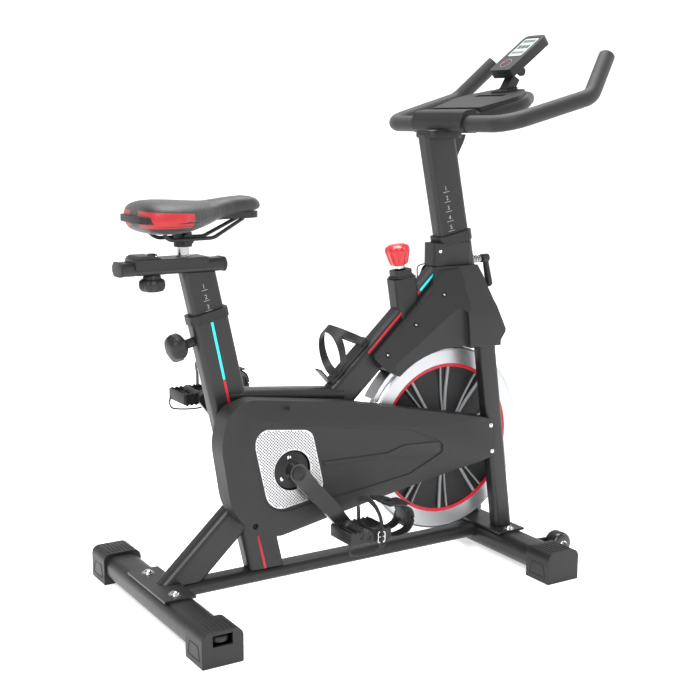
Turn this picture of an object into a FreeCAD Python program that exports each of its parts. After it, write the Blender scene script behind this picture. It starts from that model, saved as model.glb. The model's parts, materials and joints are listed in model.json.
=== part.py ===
import FreeCAD, Part

import math
import os

import Sketcher

from FreeCAD import Placement, Rotation, Vector

# Indoor spin bike in millimetres.  +X is the way the rider faces, +Y is the rider's left and
# +Z is up.  The origin is on the floor, under the middle of the whole bike.

SIZES = {
    # the two floor tubes and what is on them
    "stance_width": 530.0,
    "rear_x": -433.0,
    "wheelbase": 778.0,
    "stabilizer_depth": 72.0,
    "stabilizer_height": 48.0,
    "stabilizer_corner": 20.0,
    "ground_gap": 10.0,
    "tube_wall": 2.5,
    "foot_depth": 81.0,
    "foot_width": 68.0,
    "foot_height": 65.0,
    "foot_corner": 16.0,
    "foot_end_wall": 6.0,
    "rail_width": 44.0,
    "rail_height": 28.0,
    "rail_corner": 12.0,
    "plate_thickness": 5.0,
    "plate_length": 180.0,
    "bolt_head_radius": 8.0,
    "bolt_spacing": 128.0,
    # slanted frame members
    "main_width": 38.0,
    "main_depth": 66.0,
    "main_corner": 14.0,
    "main_angle": 42.5,
    "main_foot_x": -391.0,
    "seat_tube_width": 40.0,
    "seat_tube_depth": 76.0,
    "seat_tube_corner": 12.0,
    "seat_tube_lean": 12.7,
    "seat_tube_foot_x": -211.0,
    "seat_tube_top": 566.0,
    "top_tube_width": 42.0,
    "top_tube_depth": 27.0,
    "top_tube_start": 417.0,
    "top_tube_end": 391.0,
    "head_width": 43.0,
    "head_depth": 80.0,
    "head_corner": 12.0,
    "head_lean": 11.4,
    "head_x": 242.5,
    "head_top": 684.0,
    "head_bottom": 476.0,
    "leg_width": 30.0,
    "leg_depth": 42.0,
    "leg_corner": 9.0,
    "leg_offset": 56.0,
    "leg_lean": 8.1,
    "leg_top_x": 287.0,
    "leg_top": 500.0,
    # flywheel and drive
    "wheel_x": 222.0,
    "wheel_z": 266.0,
    "wheel_radius": 199.0,
    "wheel_rim_inner": 161.5,
    "wheel_thickness": 32.0,
    "wheel_web": 14.0,
    "hub_radius": 26.0,
    "axle_radius": 10.0,
    "running_gap": 0.05,
    "part_gap": 0.5,
    "crank_x": -185.0,
    "crank_z": 269.0,
    "crank_length": 150.0,
    "crank_angle": -50.5,
    "pulley_radius": 98.0,
    "small_pulley_radius": 28.0,
    "belt_width": 14.0,
    "belt_thickness": 3.0,
    "belt_plane": 54.0,
    "shell_radius": 21.0,
    "shell_width": 50.0,
    "arm_plane": 88.0,
    "arm_thickness": 12.0,
    "arm_root_radius": 19.0,
    "arm_end_radius": 14.0,
    "arm_dish": 20.0,
    "spindle_radius": 6.0,
    "pedal_width": 78.0,
    "pedal_depth": 66.0,
    "pedal_height": 26.0,
    "clip_reach": 112.0,
    "pedal_lead": 6.0,
    "strap_rise": 56.0,
    # covers
    "cover_face": 77.0,
    "cover_back": 30.0,
    "cover_seam": 50.0,
    "cover_wall": 3.0,
    "cover_hole_radius": 36.0,
    "shroud_edge": 31.0,
    "shroud_face": 77.0,
    "shroud_inner": 23.0,
    "shroud_wall": 3.0,
    # saddle
    "post_width": 33.0,
    "post_depth": 66.0,
    "post_corner": 9.0,
    "post_length": 330.0,
    "seat_rail_rear": -501.0,
    "seat_rail_length": 205.0,
    "seat_rail_width": 42.0,
    "seat_rail_height": 25.0,
    "seat_rail_bottom": 658.0,
    "seat_rail_slot": 15.0,
    "carriage_rear": -477.0,
    "carriage_length": 144.0,
    "carriage_wall": 4.0,
    "carriage_bolt_x": -436.0,
    "carriage_knob_radius": 25.0,
    "carriage_knob_height": 31.0,
    "stem_x": -373.0,
    "stem_radius": 11.0,
    "clamp_x": -373.0,
    "clamp_z": 721.0,
    "saddle_rear": -482.0,
    "saddle_length": 270.0,
    "saddle_width": 170.0,
    "saddle_nose_width": 52.0,
    "saddle_top": 792.0,
    "saddle_thickness": 26.0,
    "wire_radius": 3.5,
    "pin_height": 534.0,
    "pin_knob_radius": 27.0,
    # handlebar
    "bar_post_width": 37.0,
    "bar_post_depth": 74.0,
    "bar_post_corner": 10.0,
    "bar_post_top": 912.0,
    "bar_post_bottom": 582.0,
    "bar_x": 217.0,
    "bar_z": 927.0,
    "bar_radius": 16.5,
    "bar_half_width": 210.0,
    "bar_corner": 50.0,
    "elbow_x": 413.0,
    "elbow_z": 980.0,
    "elbow_corner": 45.0,
    "tip_x": 487.0,
    "tip_z": 1061.0,
    "bracket_length": 170.0,
    "tip_inset": 39.0,
    "elbow_flare": 8.0,
    "loop_radius": 13.0,
    "loop_half_width": 122.0,
    "loop_front_x": 408.0,
    "loop_rise": 14.0,
    "tray_thickness": 8.0,
    "console_length": 124.0,
    "console_width": 66.0,
    "console_thickness": 20.0,
    "console_angle": 36.8,
    "console_x": 405.0,
    "console_z": 1074.0,
    # resistance brake and head lever
    "brake_x": 128.0,
    "brake_lean": 9.2,
    "brake_knob_radius": 26.0,
    "brake_knob_height": 41.0,
    "brake_rod_radius": 5.0,
    "brake_knob_base": 645.0,
    "lever_x": 322.0,
    "lever_z": 645.0,
    "lever_length": 56.0,
    # bottle cage on the main tube
    "bottle_radius": 38.0,
    "cage_x": 1.0,
    "cage_wall": 3.0,
    "cage_band": 14.0,
    "cage_plate_length": 122.0,
    "cage_plate_width": 30.0,
    "cage_shelf_reach": 40.0,
    "boot_depth": 54.0,
    # transport wheels and levelling wheels
    "roller_x": 428.0,
    "roller_radius": 25.0,
    "roller_z": 37.0,
    "roller_offset": 154.0,
    "roller_width": 20.0,
    "leveler_radius": 19.0,
    "leveler_height": 12.0,
    "leveler_z": 42.0,
}

doc = FreeCAD.newDocument("SpinBike")
sheet = doc.addObject("Spreadsheet::Sheet", "Sizes")
for row, (alias, amount) in enumerate(SIZES.items(), start=1):
    sheet.set(f"A{row}", alias)
    sheet.set(f"B{row}", str(amount))
    sheet.setAlias(f"B{row}", alias)
doc.recompute()


class Dim:
    """A size held twice: as a number, and as the text that binds a property to the sheet."""

    def __init__(self, value, text):
        self.value = value
        self.text = text

    def __float__(self):
        return self.value

    def __add__(self, other):
        return Dim(self.value + float(other), f"({self.text} + {words(other)})")

    def __radd__(self, other):
        return Dim(float(other) + self.value, f"({words(other)} + {self.text})")

    def __sub__(self, other):
        return Dim(self.value - float(other), f"({self.text} - {words(other)})")

    def __rsub__(self, other):
        return Dim(float(other) - self.value, f"({words(other)} - {self.text})")

    def __mul__(self, other):
        return Dim(self.value * float(other), f"({self.text} * {words(other)})")

    __rmul__ = __mul__

    def __truediv__(self, other):
        return Dim(self.value / float(other), f"({self.text} / {words(other)})")

    def __neg__(self):
        return Dim(-self.value, f"(0 - {self.text})")


def words(amount):
    """The expression text of a Dim or of a plain number."""
    return amount.text if isinstance(amount, Dim) else f"{float(amount):.6f}"


def size(alias):
    """One driving size from the sheet."""
    return Dim(float(sheet.get(alias)), f"Sizes.{alias}")


def bind(feature, prop, amount):
    """Tie a property of a feature to the sheet, or set it when the amount is a plain number."""
    if isinstance(amount, Dim):
        feature.setExpression(prop, amount.text)
    else:
        setattr(feature, prop, amount)


def spot(x, y, z):
    """A point from Dims or numbers."""
    return Vector(float(x), float(y), float(z))


def place(x, y, z, rotation=None):
    """A placement from Dims or numbers."""
    return Placement(spot(x, y, z), rotation or Rotation())


def along(direction, start):
    """A placement whose local Z runs along a direction, with local Y kept near the bike's Y."""
    normal = Vector(direction).normalize()
    side = Vector(0, 1, 0) if abs(normal.y) < 0.9 else Vector(0, 0, 1)
    return Placement(start, Rotation(side.cross(normal), side, normal, "ZXY"))


nodes = {}


def keep(node, feature):
    """Name a finished sub-part: its Label is the name of its file."""
    feature.Label = node
    nodes[node] = feature
    return feature


def new_sketch(body, name, plane="XY_Plane"):
    """A sketch on one of the body's own origin planes."""
    sketch = body.newObject("Sketcher::SketchObject", name)
    origin = next(item for item in body.Origin.OriginFeatures if item.Role == plane)
    sketch.AttachmentSupport = (origin, [""])
    sketch.MapMode = "FlatFace"
    return sketch


def datum(sketch, constraint, amount):
    """Add a driving constraint and tie it to the sheet."""
    index = sketch.addConstraint(constraint)
    if isinstance(amount, Dim):
        sketch.setExpression(f"Constraints[{index}]", amount.text)


def polygon_loop(sketch, points):
    """A closed loop of straight lines with both coordinates of each corner driven."""
    spots = [Vector(float(x), float(y), 0) for x, y in points]
    count = len(spots)
    first = sketch.GeometryCount
    for index in range(count):
        sketch.addGeometry(Part.LineSegment(spots[index], spots[(index + 1) % count]), False)
    for index in range(count):
        following = first + (index + 1) % count
        sketch.addConstraint(Sketcher.Constraint("Coincident", first + index, 2, following, 1))
    for index, (x, y) in enumerate(points):
        line = first + index
        datum(sketch, Sketcher.Constraint("DistanceX", -1, 1, line, 1, float(x)), x)
        datum(sketch, Sketcher.Constraint("DistanceY", -1, 1, line, 1, float(y)), y)


def rounded_loop(sketch, deep, wide, corner):
    """A centred rectangle with equal round corners, driven by three sizes."""
    x, y, r = float(deep) / 2, float(wide) / 2, float(corner)
    first = sketch.GeometryCount
    sides = [((x - r, y), (-x + r, y)), ((-x, y - r), (-x, -y + r)),
             ((-x + r, -y), (x - r, -y)), ((x, -y + r), (x, y - r))]
    centres = [(-x + r, y - r, 90), (-x + r, -y + r, 180), (x - r, -y + r, 270), (x - r, y - r, 0)]
    for side in range(4):
        (ax, ay), (bx, by) = sides[side]
        sketch.addGeometry(Part.LineSegment(Vector(ax, ay, 0), Vector(bx, by, 0)), False)
        cx, cy, turn = centres[side]
        circle = Part.Circle(Vector(cx, cy, 0), Vector(0, 0, 1), r)
        arc = Part.ArcOfCircle(circle, math.radians(turn), math.radians(turn + 90))
        sketch.addGeometry(arc, False)
    top, left, bottom, right = first, first + 2, first + 4, first + 6
    for side in range(4):
        line, arc, following = first + 2 * side, first + 2 * side + 1, first + (2 * side + 2) % 8
        sketch.addConstraint(Sketcher.Constraint("Tangent", line, 2, arc, 1))
        sketch.addConstraint(Sketcher.Constraint("Tangent", arc, 2, following, 1))
    for line in (top, bottom):
        sketch.addConstraint(Sketcher.Constraint("Horizontal", line))
    for line in (left, right):
        sketch.addConstraint(Sketcher.Constraint("Vertical", line))
    for arc in (first + 3, first + 5, first + 7):
        sketch.addConstraint(Sketcher.Constraint("Equal", first + 1, arc))
    datum(sketch, Sketcher.Constraint("Radius", first + 1, r), corner)
    datum(sketch, Sketcher.Constraint("DistanceX", -1, 1, right, 1, x), deep / 2)
    datum(sketch, Sketcher.Constraint("DistanceX", left, 1, -1, 1, x), deep / 2)
    datum(sketch, Sketcher.Constraint("DistanceY", -1, 1, top, 1, y), wide / 2)
    datum(sketch, Sketcher.Constraint("DistanceY", bottom, 1, -1, 1, y), wide / 2)


def bar(name, deep, wide, corner, length, placement, wall=None):
    """A straight bar or tube of rounded rectangular section, along its local Z."""
    body = doc.addObject("PartDesign::Body", name)
    sketch = new_sketch(body, name + "_section")
    rounded_loop(sketch, deep, wide, corner)
    if wall is not None:
        rounded_loop(sketch, deep - 2 * wall, wide - 2 * wall, corner - wall)
    pad = body.newObject("PartDesign::Pad", name + "_pad")
    pad.Profile = sketch
    bind(pad, "Length", length)
    body.Placement = placement
    return body


def turned(name, profile, placement):
    """A round piece: a polygon of (radius, height) turned about its local Z."""
    body = doc.addObject("PartDesign::Body", name)
    sketch = new_sketch(body, name + "_profile", "XZ_Plane")
    polygon_loop(sketch, profile)
    turn = body.newObject("PartDesign::Revolution", name + "_turn")
    turn.Profile = sketch
    turn.ReferenceAxis = (sketch, ["V_Axis"])
    turn.Angle = 360
    body.Placement = placement
    return body


def plate(name, outline, thickness, placement):
    """A flat plate: a polygon padded along its local Z."""
    body = doc.addObject("PartDesign::Body", name)
    sketch = new_sketch(body, name + "_outline")
    polygon_loop(sketch, outline)
    pad = body.newObject("PartDesign::Pad", name + "_pad")
    pad.Profile = sketch
    bind(pad, "Length", thickness)
    body.Placement = placement
    return body


def block(name, length, width, height, x, y, z):
    """A box with its lowest corner at x, y, z."""
    box = doc.addObject("Part::Box", name)
    bind(box, "Length", length)
    bind(box, "Width", width)
    bind(box, "Height", height)
    box.Placement = place(x, y, z)
    return box


def rod(name, radius, length, placement):
    """A cylinder along its local Z."""
    cylinder = doc.addObject("Part::Cylinder", name)
    bind(cylinder, "Radius", radius)
    bind(cylinder, "Height", length)
    cylinder.Placement = placement
    return cylinder


def cut(name, base, *tools):
    """The base with each tool taken away in turn."""
    for step, tool in enumerate(tools):
        feature = doc.addObject("Part::Cut", f"{name}_cut{step}")
        feature.Base = base
        feature.Tool = tool
        base = feature
    return base


def fuse(name, *members):
    """Several shapes as one solid."""
    feature = doc.addObject("Part::MultiFuse", name)
    feature.Shapes = list(members)
    feature.Refine = True
    return feature


def group(name, members):
    """Separate solids kept in one sub-part."""
    feature = doc.addObject("Part::Compound", name)
    feature.Links = list(members)
    return feature


def shaped(name, shape):
    """A piece whose surface needs Part's own functions."""
    feature = doc.addObject("Part::Feature", name)
    feature.Shape = shape
    return feature


def rounded_face(corners, start, across, up):
    """A flat face whose corners (a, b, radius) are rounded, in the plane of two directions."""
    count = len(corners)
    spots = [start + across * float(a) + up * float(b) for a, b, _ in corners]
    edges = []
    ends = []
    for index in range(count):
        before, here, after = spots[index - 1], spots[index], spots[(index + 1) % count]
        back, ahead = (before - here).normalize(), (after - here).normalize()
        radius = float(corners[index][2])
        half = back.getAngle(ahead) / 2
        reach = radius / math.tan(half)
        middle = (back + ahead).normalize()
        mid = here + middle * (radius / math.sin(half) - radius)
        ends.append((here + back * reach, mid, here + ahead * reach, radius))
    for index in range(count):
        entry, mid, leave, radius = ends[index]
        if radius > 0:
            edges.append(Part.Arc(entry, mid, leave).toShape())
        following = ends[(index + 1) % count][0]
        if leave.distanceToPoint(following) > 0.001:
            edges.append(Part.LineSegment(leave, following).toShape())
    return Part.Face(Part.Wire(Part.__sortEdges__(edges)))


def bent_wire(spots, radii):
    """Straight runs joined by tangent arcs."""
    edges = []
    last = spots[0]
    for index in range(1, len(spots) - 1):
        here = spots[index]
        back, ahead = (spots[index - 1] - here).normalize(), (spots[index + 1] - here).normalize()
        half = back.getAngle(ahead) / 2
        radius = radii[index - 1]
        reach = radius / math.tan(half)
        mid = here + (back + ahead).normalize() * (radius / math.sin(half) - radius)
        entry, leave = here + back * reach, here + ahead * reach
        edges.append(Part.LineSegment(last, entry).toShape())
        edges.append(Part.Arc(entry, mid, leave).toShape())
        last = leave
    edges.append(Part.LineSegment(last, spots[-1]).toShape())
    return Part.Wire(edges)


def pipe(spots, radii, radius):
    """A round bar swept along straight runs and tangent arcs."""
    wire = bent_wire(spots, radii)
    heading = (spots[1] - spots[0]).normalize()
    ring = Part.Wire(Part.makeCircle(radius, spots[0], heading))
    return wire.makePipeShell([ring], True, False)


X, Y, Z = Vector(1, 0, 0), Vector(0, 1, 0), Vector(0, 0, 1)
SIDES = (("right", -1), ("left", 1))

wall = size("tube_wall")
gap = size("part_gap")
run = size("running_gap")
rear_x = size("rear_x")
front_x = rear_x + size("wheelbase")
floor_tube_z = size("ground_gap") + size("stabilizer_height") / 2
floor_tube_top = size("ground_gap") + size("stabilizer_height")
plate_top = floor_tube_top + size("plate_thickness")


# ---------------------------------------------------------------- floor tubes, rail and feet

def floor_tube(name, x):
    """One stabiliser tube across the bike, and its outer form used to cope what meets it."""
    length = size("stance_width") - 2 * size("foot_end_wall")
    start = Placement(spot(x, -float(length) / 2, floor_tube_z), Rotation(X, -90))
    sizes = (size("stabilizer_depth"), size("stabilizer_height"), size("stabilizer_corner"))
    return bar(name, *sizes, length, start, wall), bar(name + "_form", *sizes, length, start)


rear_stabilizer, rear_form = floor_tube("rear_stabilizer", rear_x)
front_stabilizer, front_form = floor_tube("front_stabilizer", front_x)
keep("rear_stabilizer", rear_stabilizer)

# two lugs welded to the front tube carry the transport wheels
roller_axle_radius = size("spindle_radius")
lug_thickness = size("plate_thickness")
lugs = []
for side, sign in SIDES:
    near = size("roller_offset") - size("roller_width") / 2 - lug_thickness - gap * 2
    y = float(near) if sign > 0 else -float(near + lug_thickness)
    reach = size("roller_x") - front_x
    outline = [(0.0, -size("stabilizer_height") / 2 + 6), (reach, -size("roller_radius") / 2),
               (reach + 10, 0.0), (reach, size("roller_radius") / 2),
               (0.0, size("stabilizer_height") / 2 - 6)]
    lug = plate(f"lug_{side}", outline, lug_thickness,
                Placement(spot(front_x, y + float(lug_thickness), floor_tube_z), Rotation(X, 90)))
    axle = rod(f"roller_axle_{side}", roller_axle_radius, size("roller_width") + lug_thickness + 14,
               Placement(spot(size("roller_x"), sign * float(near), size("roller_z")),
                         Rotation(X, -90 * sign)))
    lugs.append(cut(f"lug_{side}_coped", fuse(f"lug_{side}_axle", lug, axle), front_form))
keep("front_stabilizer", group("front_stabilizer_group", [front_stabilizer] + lugs))

rail_centre = floor_tube_top - size("rail_height") / 2
rail_start = Placement(spot(rear_x, 0, rail_centre), Rotation(Z, -Y, X, "ZXY"))
raw_rail = bar("rail", size("rail_height"), size("rail_width"), size("rail_corner"),
               size("wheelbase"), rail_start, wall)
keep("base_rail", cut("base_rail", raw_rail, rear_form, front_form))


def foot_cap(name, x, sign, window):
    """A moulded cap over one end of a stabiliser, with a levelling wheel window at the rear."""
    deep, wide, tall = size("foot_depth"), size("foot_width"), size("foot_height")
    corner = float(size("foot_corner"))
    half = float(deep) / 2
    inner = float(size("stance_width")) / 2 - float(wide)
    outline = [(-half, 0, 2), (half, 0, 2), (half, float(tall), corner), (-half, float(tall), corner)]
    face = rounded_face(outline, spot(x, sign * inner, 0), X, Z)
    solid = face.extrude(Vector(0, sign * float(wide), 0))
    shape = solid.cut(front_form.Shape if float(x) > 0 else rear_form.Shape)
    if window:
        radius = float(size("leveler_radius") + gap)
        end_y = float(size("stance_width")) / 2
        low_z, high = float(size("leveler_z") - gap), float(size("leveler_height") + 2 * gap)
        slot = Part.makeCylinder(radius, high, spot(x, sign * (end_y - radius - 1), low_z), Z)
        low_y = end_y - 9 if sign > 0 else 9 - end_y - 2 * radius
        opening = Part.makeBox(2 * radius, 2 * radius, high + 8, spot(float(x) - radius, low_y, low_z - 4))
        shape = shape.cut([slot, opening])
    return shaped(name, shape)


doc.recompute()
caps = []
for side, sign in SIDES:
    caps.append(foot_cap(f"rear_cap_{side}", rear_x, sign, True))
    caps.append(foot_cap(f"front_cap_{side}", front_x, sign, False))
keep("foot_caps", group("foot_cap_group", caps))


# ---------------------------------------------------------------- frame tubes

def leaning(angle, start):
    """Local Z points up and leans back by an angle; local X is the depth of the section."""
    return Placement(start, Rotation(Y, -float(angle)))


def on_axis(start, angle, height):
    """The point at a height on an upright axis that leans back by an angle."""
    climb = float(height) - start.z
    return Vector(start.x - climb * math.tan(math.radians(float(angle))), 0, float(height))


main_foot = spot(size("main_foot_x"), 0, plate_top)
main_rise = math.radians(float(size("main_angle")))
main_dir = Vector(math.cos(main_rise), 0, math.sin(main_rise))
main_normal = Vector(-math.sin(main_rise), 0, math.cos(main_rise))
seat_foot = spot(size("seat_tube_foot_x"), 0, floor_tube_top)
seat_lean = size("seat_tube_lean")
seat_dir = leaning(seat_lean, seat_foot).Rotation.multVec(Z)
head_lean = size("head_lean")
head_point = spot(size("head_x"), 0, size("head_top"))
head_dir = leaning(head_lean, head_point).Rotation.multVec(Z)


def main_height(x):
    """Height of the main tube's axis at a place along the bike."""
    return main_foot.z + (float(x) - main_foot.x) * math.tan(main_rise)


# the main tube runs from the rear plate up to the head tube
head_base = on_axis(head_point, head_lean, size("head_bottom"))
head_sizes = (size("head_depth"), size("head_width"), size("head_corner"))
head_length = (size("head_top") - size("head_bottom")) / math.cos(math.radians(float(head_lean)))
head_tube = bar("head_tube_raw", *head_sizes, head_length, leaning(head_lean, head_base), wall)
head_form = bar("head_form", *head_sizes, head_length, leaning(head_lean, head_base))
keep("head_tube", head_tube)

overrun = 60.0
main_start = main_foot - main_dir * overrun
meet_x = float(size("head_x")) + 10
main_length = (meet_x - main_start.x) / main_dir.x
main_sizes = (size("main_depth"), size("main_width"), size("main_corner"))
main_place = Placement(main_start, Rotation(Y, 90 - math.degrees(main_rise)))
main_raw = bar("main_tube_raw", *main_sizes, main_length, main_place, wall)
main_form = bar("main_form", *main_sizes, main_length, main_place)

plate_half = size("plate_length") / 2
rear_plate = block("rear_plate", size("stabilizer_depth") - 8, size("plate_length"),
                   size("plate_thickness"), rear_x - (size("stabilizer_depth") - 8) / 2,
                   -plate_half, floor_tube_top)
front_plate = block("front_plate", size("stabilizer_depth") - 4, size("plate_length") + 20,
                    size("plate_thickness"), front_x - (size("stabilizer_depth") - 4) / 2,
                    -plate_half - 10, floor_tube_top)
keep("mounting_plates", group("mounting_plate_group", [rear_plate, front_plate]))
ground_block = block("ground_block", size("wheelbase") + 400, size("stance_width"), floor_tube_top + 100,
                     rear_x - 200, -size("stance_width") / 2, -100.0)

bb_length = size("shell_width")
shell_place = Placement(spot(size("crank_x"), float(bb_length) / 2, size("crank_z")),
                        Rotation(X, 90))
shell_form = rod("shell_form", size("shell_radius"), bb_length, shell_place)
keep("main_tube", cut("main_tube", main_raw, ground_block, rear_plate, head_form, shell_form))

# the seat tube: an upper part above the main tube and a short foot below it
seat_sizes = (size("seat_tube_depth"), size("seat_tube_width"), size("seat_tube_corner"))
lean_tan = math.tan(math.radians(float(seat_lean)))
cross_x = (seat_foot.x - lean_tan * (main_height(0) - seat_foot.z))
cross_x = cross_x / (1 + lean_tan * math.tan(main_rise))
cross = Vector(cross_x, 0, main_height(cross_x))
upper_length = (size("seat_tube_top") - cross.z) / math.cos(math.radians(float(seat_lean)))
seat_upper = bar("seat_upper", *seat_sizes, upper_length, leaning(seat_lean, cross), wall)
seat_form = bar("seat_form", *seat_sizes, upper_length, leaning(seat_lean, cross))
foot_start = seat_foot - seat_dir * 20
seat_lower = bar("seat_lower", *seat_sizes, (cross - foot_start).Length,
                 leaning(seat_lean, foot_start), wall)
keep("seat_tube", group("seat_tube_group", [
    cut("seat_upper_coped", seat_upper, main_form, shell_form),
    cut("seat_lower_coped", seat_lower, main_form, ground_block)]))

# the top tube ties the seat tube to the main tube
top_start = on_axis(seat_foot, seat_lean, size("top_tube_start"))
top_end_x = (float(size("top_tube_end")) - main_foot.z) / math.tan(main_rise) + main_foot.x
top_end = Vector(top_end_x, 0, float(size("top_tube_end")))
top_run = top_end - top_start
top_raw = bar("top_tube_raw", size("top_tube_depth"), size("top_tube_width"),
              size("top_tube_depth") / 2 - 1, top_run.Length,
              Placement(top_start, Rotation(Z, -Y, top_run.normalize(), "ZXY")), wall)
keep("top_tube", cut("top_tube", top_raw, seat_form, main_form))

# fork crown and legs
leg_lean = size("leg_lean")
leg_foot_z = plate_top
leg_drop = float(size("leg_top") - leg_foot_z)
leg_slope = math.tan(math.radians(float(leg_lean)))
leg_sizes = (size("leg_depth"), size("leg_width"), size("leg_corner"))


def leg_x(height):
    """Place along the bike of the legs' axis at a height."""
    return float(size("leg_top_x")) + (float(size("leg_top")) - float(height)) * leg_slope


legs, leg_forms = [], []
leg_end_block = block("leg_end_block", size("wheelbase"), size("stance_width"), plate_top,
                      0.0, -size("stance_width") / 2, 0.0)
for side, sign in SIDES:
    start = spot(leg_x(float(leg_foot_z) - 12), sign * float(size("leg_offset")), leg_foot_z - 12)
    length = (leg_drop + 12) / math.cos(math.radians(float(leg_lean)))
    raw = bar(f"leg_{side}", *leg_sizes, length, leaning(leg_lean, start), wall)
    legs.append(cut(f"leg_{side}_ended", raw, leg_end_block))
    leg_forms.append(bar(f"leg_form_{side}", *leg_sizes, length, leaning(leg_lean, start)))
keep("fork_legs", group("fork_leg_group", legs))

crown_height = size("leg_width") * 1.2
crown_z = size("leg_top") - crown_height
crown = block("crown_block", size("head_depth"), size("leg_offset") * 2, crown_height,
              leg_x(crown_z) - float(size("head_depth")) / 2 + 4, -size("leg_offset"), crown_z)
keep("fork_crown", cut("fork_crown", crown, head_form, *leg_forms))

# domed bolts that hold the floor tubes to their plates
bolts = []
for x, label in ((rear_x, "rear"), (front_x, "front")):
    for side, sign in SIDES:
        reach = size("bolt_spacing") / 2 if label == "rear" else plate_half - 2
        radius = size("bolt_head_radius")
        bolts.append(turned(f"{label}_bolt_{side}", [
            (0.0, 0.0), (radius, 0.0), (radius * 0.92, radius * 0.35),
            (radius * 0.6, radius * 0.66), (0.0, radius * 0.75)],
            place(x, sign * float(reach), plate_top)))
keep("stabilizer_bolts", group("stabilizer_bolt_group", bolts))

# bottom bracket shell with a bearing in each end
axle = size("axle_radius")
bearing_width = 12.0
shell = cut("bottom_bracket_shell", shell_form,
            rod("shell_bore", size("shell_radius") - 3.5, bb_length + 2,
                Placement(spot(size("crank_x"), float(bb_length) / 2 + 1, size("crank_z")),
                          Rotation(X, 90))))
keep("bottom_bracket_shell", shell)
bearings = []
for side, sign in SIDES:
    y = float(bb_length) / 2 if sign > 0 else -float(bb_length) / 2 + bearing_width
    bearings.append(turned(f"bearing_{side}", [
        (axle + run, 0.0), (size("shell_radius") - 3.5, 0.0),
        (size("shell_radius") - 3.5, bearing_width), (axle + run, bearing_width)],
        Placement(spot(size("crank_x"), y, size("crank_z")), Rotation(X, 90))))
keep("bottom_bracket_bearings", group("bearing_group", bearings))

# dropout plates behind the legs hold the flywheel's fixed axle
dropouts = []
wheel_x, wheel_z = size("wheel_x"), size("wheel_z")
plate_y = float(size("leg_offset")) + 6
for side, sign in SIDES:
    reach = leg_x(wheel_z) - float(wheel_x)
    outline = [(-18.0, -16.0), (reach, -34.0), (reach, 34.0), (-18.0, 16.0)]
    y = plate_y + 6 if sign > 0 else -plate_y
    raw = plate(f"dropout_{side}", outline, 6.0,
                Placement(spot(wheel_x, y, wheel_z), Rotation(X, 90)))
    hole = rod(f"dropout_hole_{side}", axle, 40.0,
               Placement(spot(wheel_x, plate_y * sign + 20, wheel_z), Rotation(X, 90)))
    dropouts.append(cut(f"dropout_{side}_coped", raw, leg_forms[0 if sign < 0 else 1], hole))
keep("axle_dropouts", group("dropout_group", dropouts))

axle_half = plate_y + 6 + 4
axle_rod = rod("flywheel_axle_rod", axle, 2 * axle_half,
               Placement(spot(wheel_x, axle_half, wheel_z), Rotation(X, 90)))
nuts = []
for side, sign in SIDES:
    outer = plate_y + 6
    y = outer + 7 if sign > 0 else -outer
    nuts.append(turned(f"axle_nut_{side}", [(0.0, 0.0), (axle + 5, 0.0), (axle + 5, 7.0), (0.0, 7.0)],
                       Placement(spot(wheel_x, y, wheel_z), Rotation(X, 90))))
keep("flywheel_axle", fuse("flywheel_axle_fused", axle_rod, *nuts))


# ---------------------------------------------------------------- flywheel, hub and drive

rim_half = size("wheel_thickness") / 2
web_half = size("wheel_web") / 2
wheel_r, ring_r = size("wheel_radius"), size("wheel_rim_inner")
hub_r = size("hub_radius")
sideways = Rotation(X, 90)
keep("flywheel", turned("flywheel", [
    (hub_r, -web_half), (ring_r, -web_half), (ring_r, -rim_half), (wheel_r - 6, -rim_half),
    (wheel_r, 4 - rim_half), (wheel_r, rim_half - 4), (wheel_r - 6, rim_half),
    (ring_r, rim_half), (ring_r, web_half), (hub_r, web_half)],
    Placement(spot(wheel_x, 0, wheel_z), sideways)))

belt_half = size("belt_width") / 2
belt_y = size("belt_plane")
flange = 2.0
small_r, big_r = size("small_pulley_radius"), size("pulley_radius")
hub_inner = belt_y - belt_half - flange
keep("flywheel_hub", turned("flywheel_hub", [
    (axle + run, -size("wheel_thickness")), (hub_r - 6, -size("wheel_thickness")), (hub_r, -web_half),
    (hub_r, web_half), (hub_r - 6, size("wheel_thickness") / 2 + 3), (hub_r - 6, hub_inner),
    (small_r + 3, hub_inner), (small_r + 3, hub_inner + flange), (small_r, hub_inner + flange),
    (small_r, belt_y + belt_half), (axle + run, belt_y + belt_half)],
    Placement(spot(wheel_x, 0, wheel_z), sideways)))

crank_x, crank_z = size("crank_x"), size("crank_z")
keep("drive_pulley", turned("drive_pulley", [
    (axle + 12, -belt_half), (big_r - 12, -belt_half), (big_r - 12, -belt_half - flange),
    (big_r + 3, -belt_half - flange), (big_r + 3, -belt_half), (big_r, -belt_half),
    (big_r, belt_half), (big_r + 3, belt_half), (big_r + 3, belt_half + flange),
    (big_r - 12, belt_half + flange), (big_r - 12, 0.0), (axle + 12, 0.0)],
    Placement(spot(crank_x, -belt_y, crank_z), Rotation(X, 90))))

arm_y = size("arm_plane")
arm_thick = size("arm_thickness")
keep("crank_axle", turned("crank_axle", [
    (0.0, -arm_y), (axle, -arm_y), (axle, belt_y - belt_half), (axle + 12, belt_y - belt_half),
    (axle + 12, belt_y + belt_half + 2), (axle, belt_y + belt_half + 2), (axle, arm_y), (0.0, arm_y)],
    Placement(spot(crank_x, 0, crank_z), sideways)))


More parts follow.
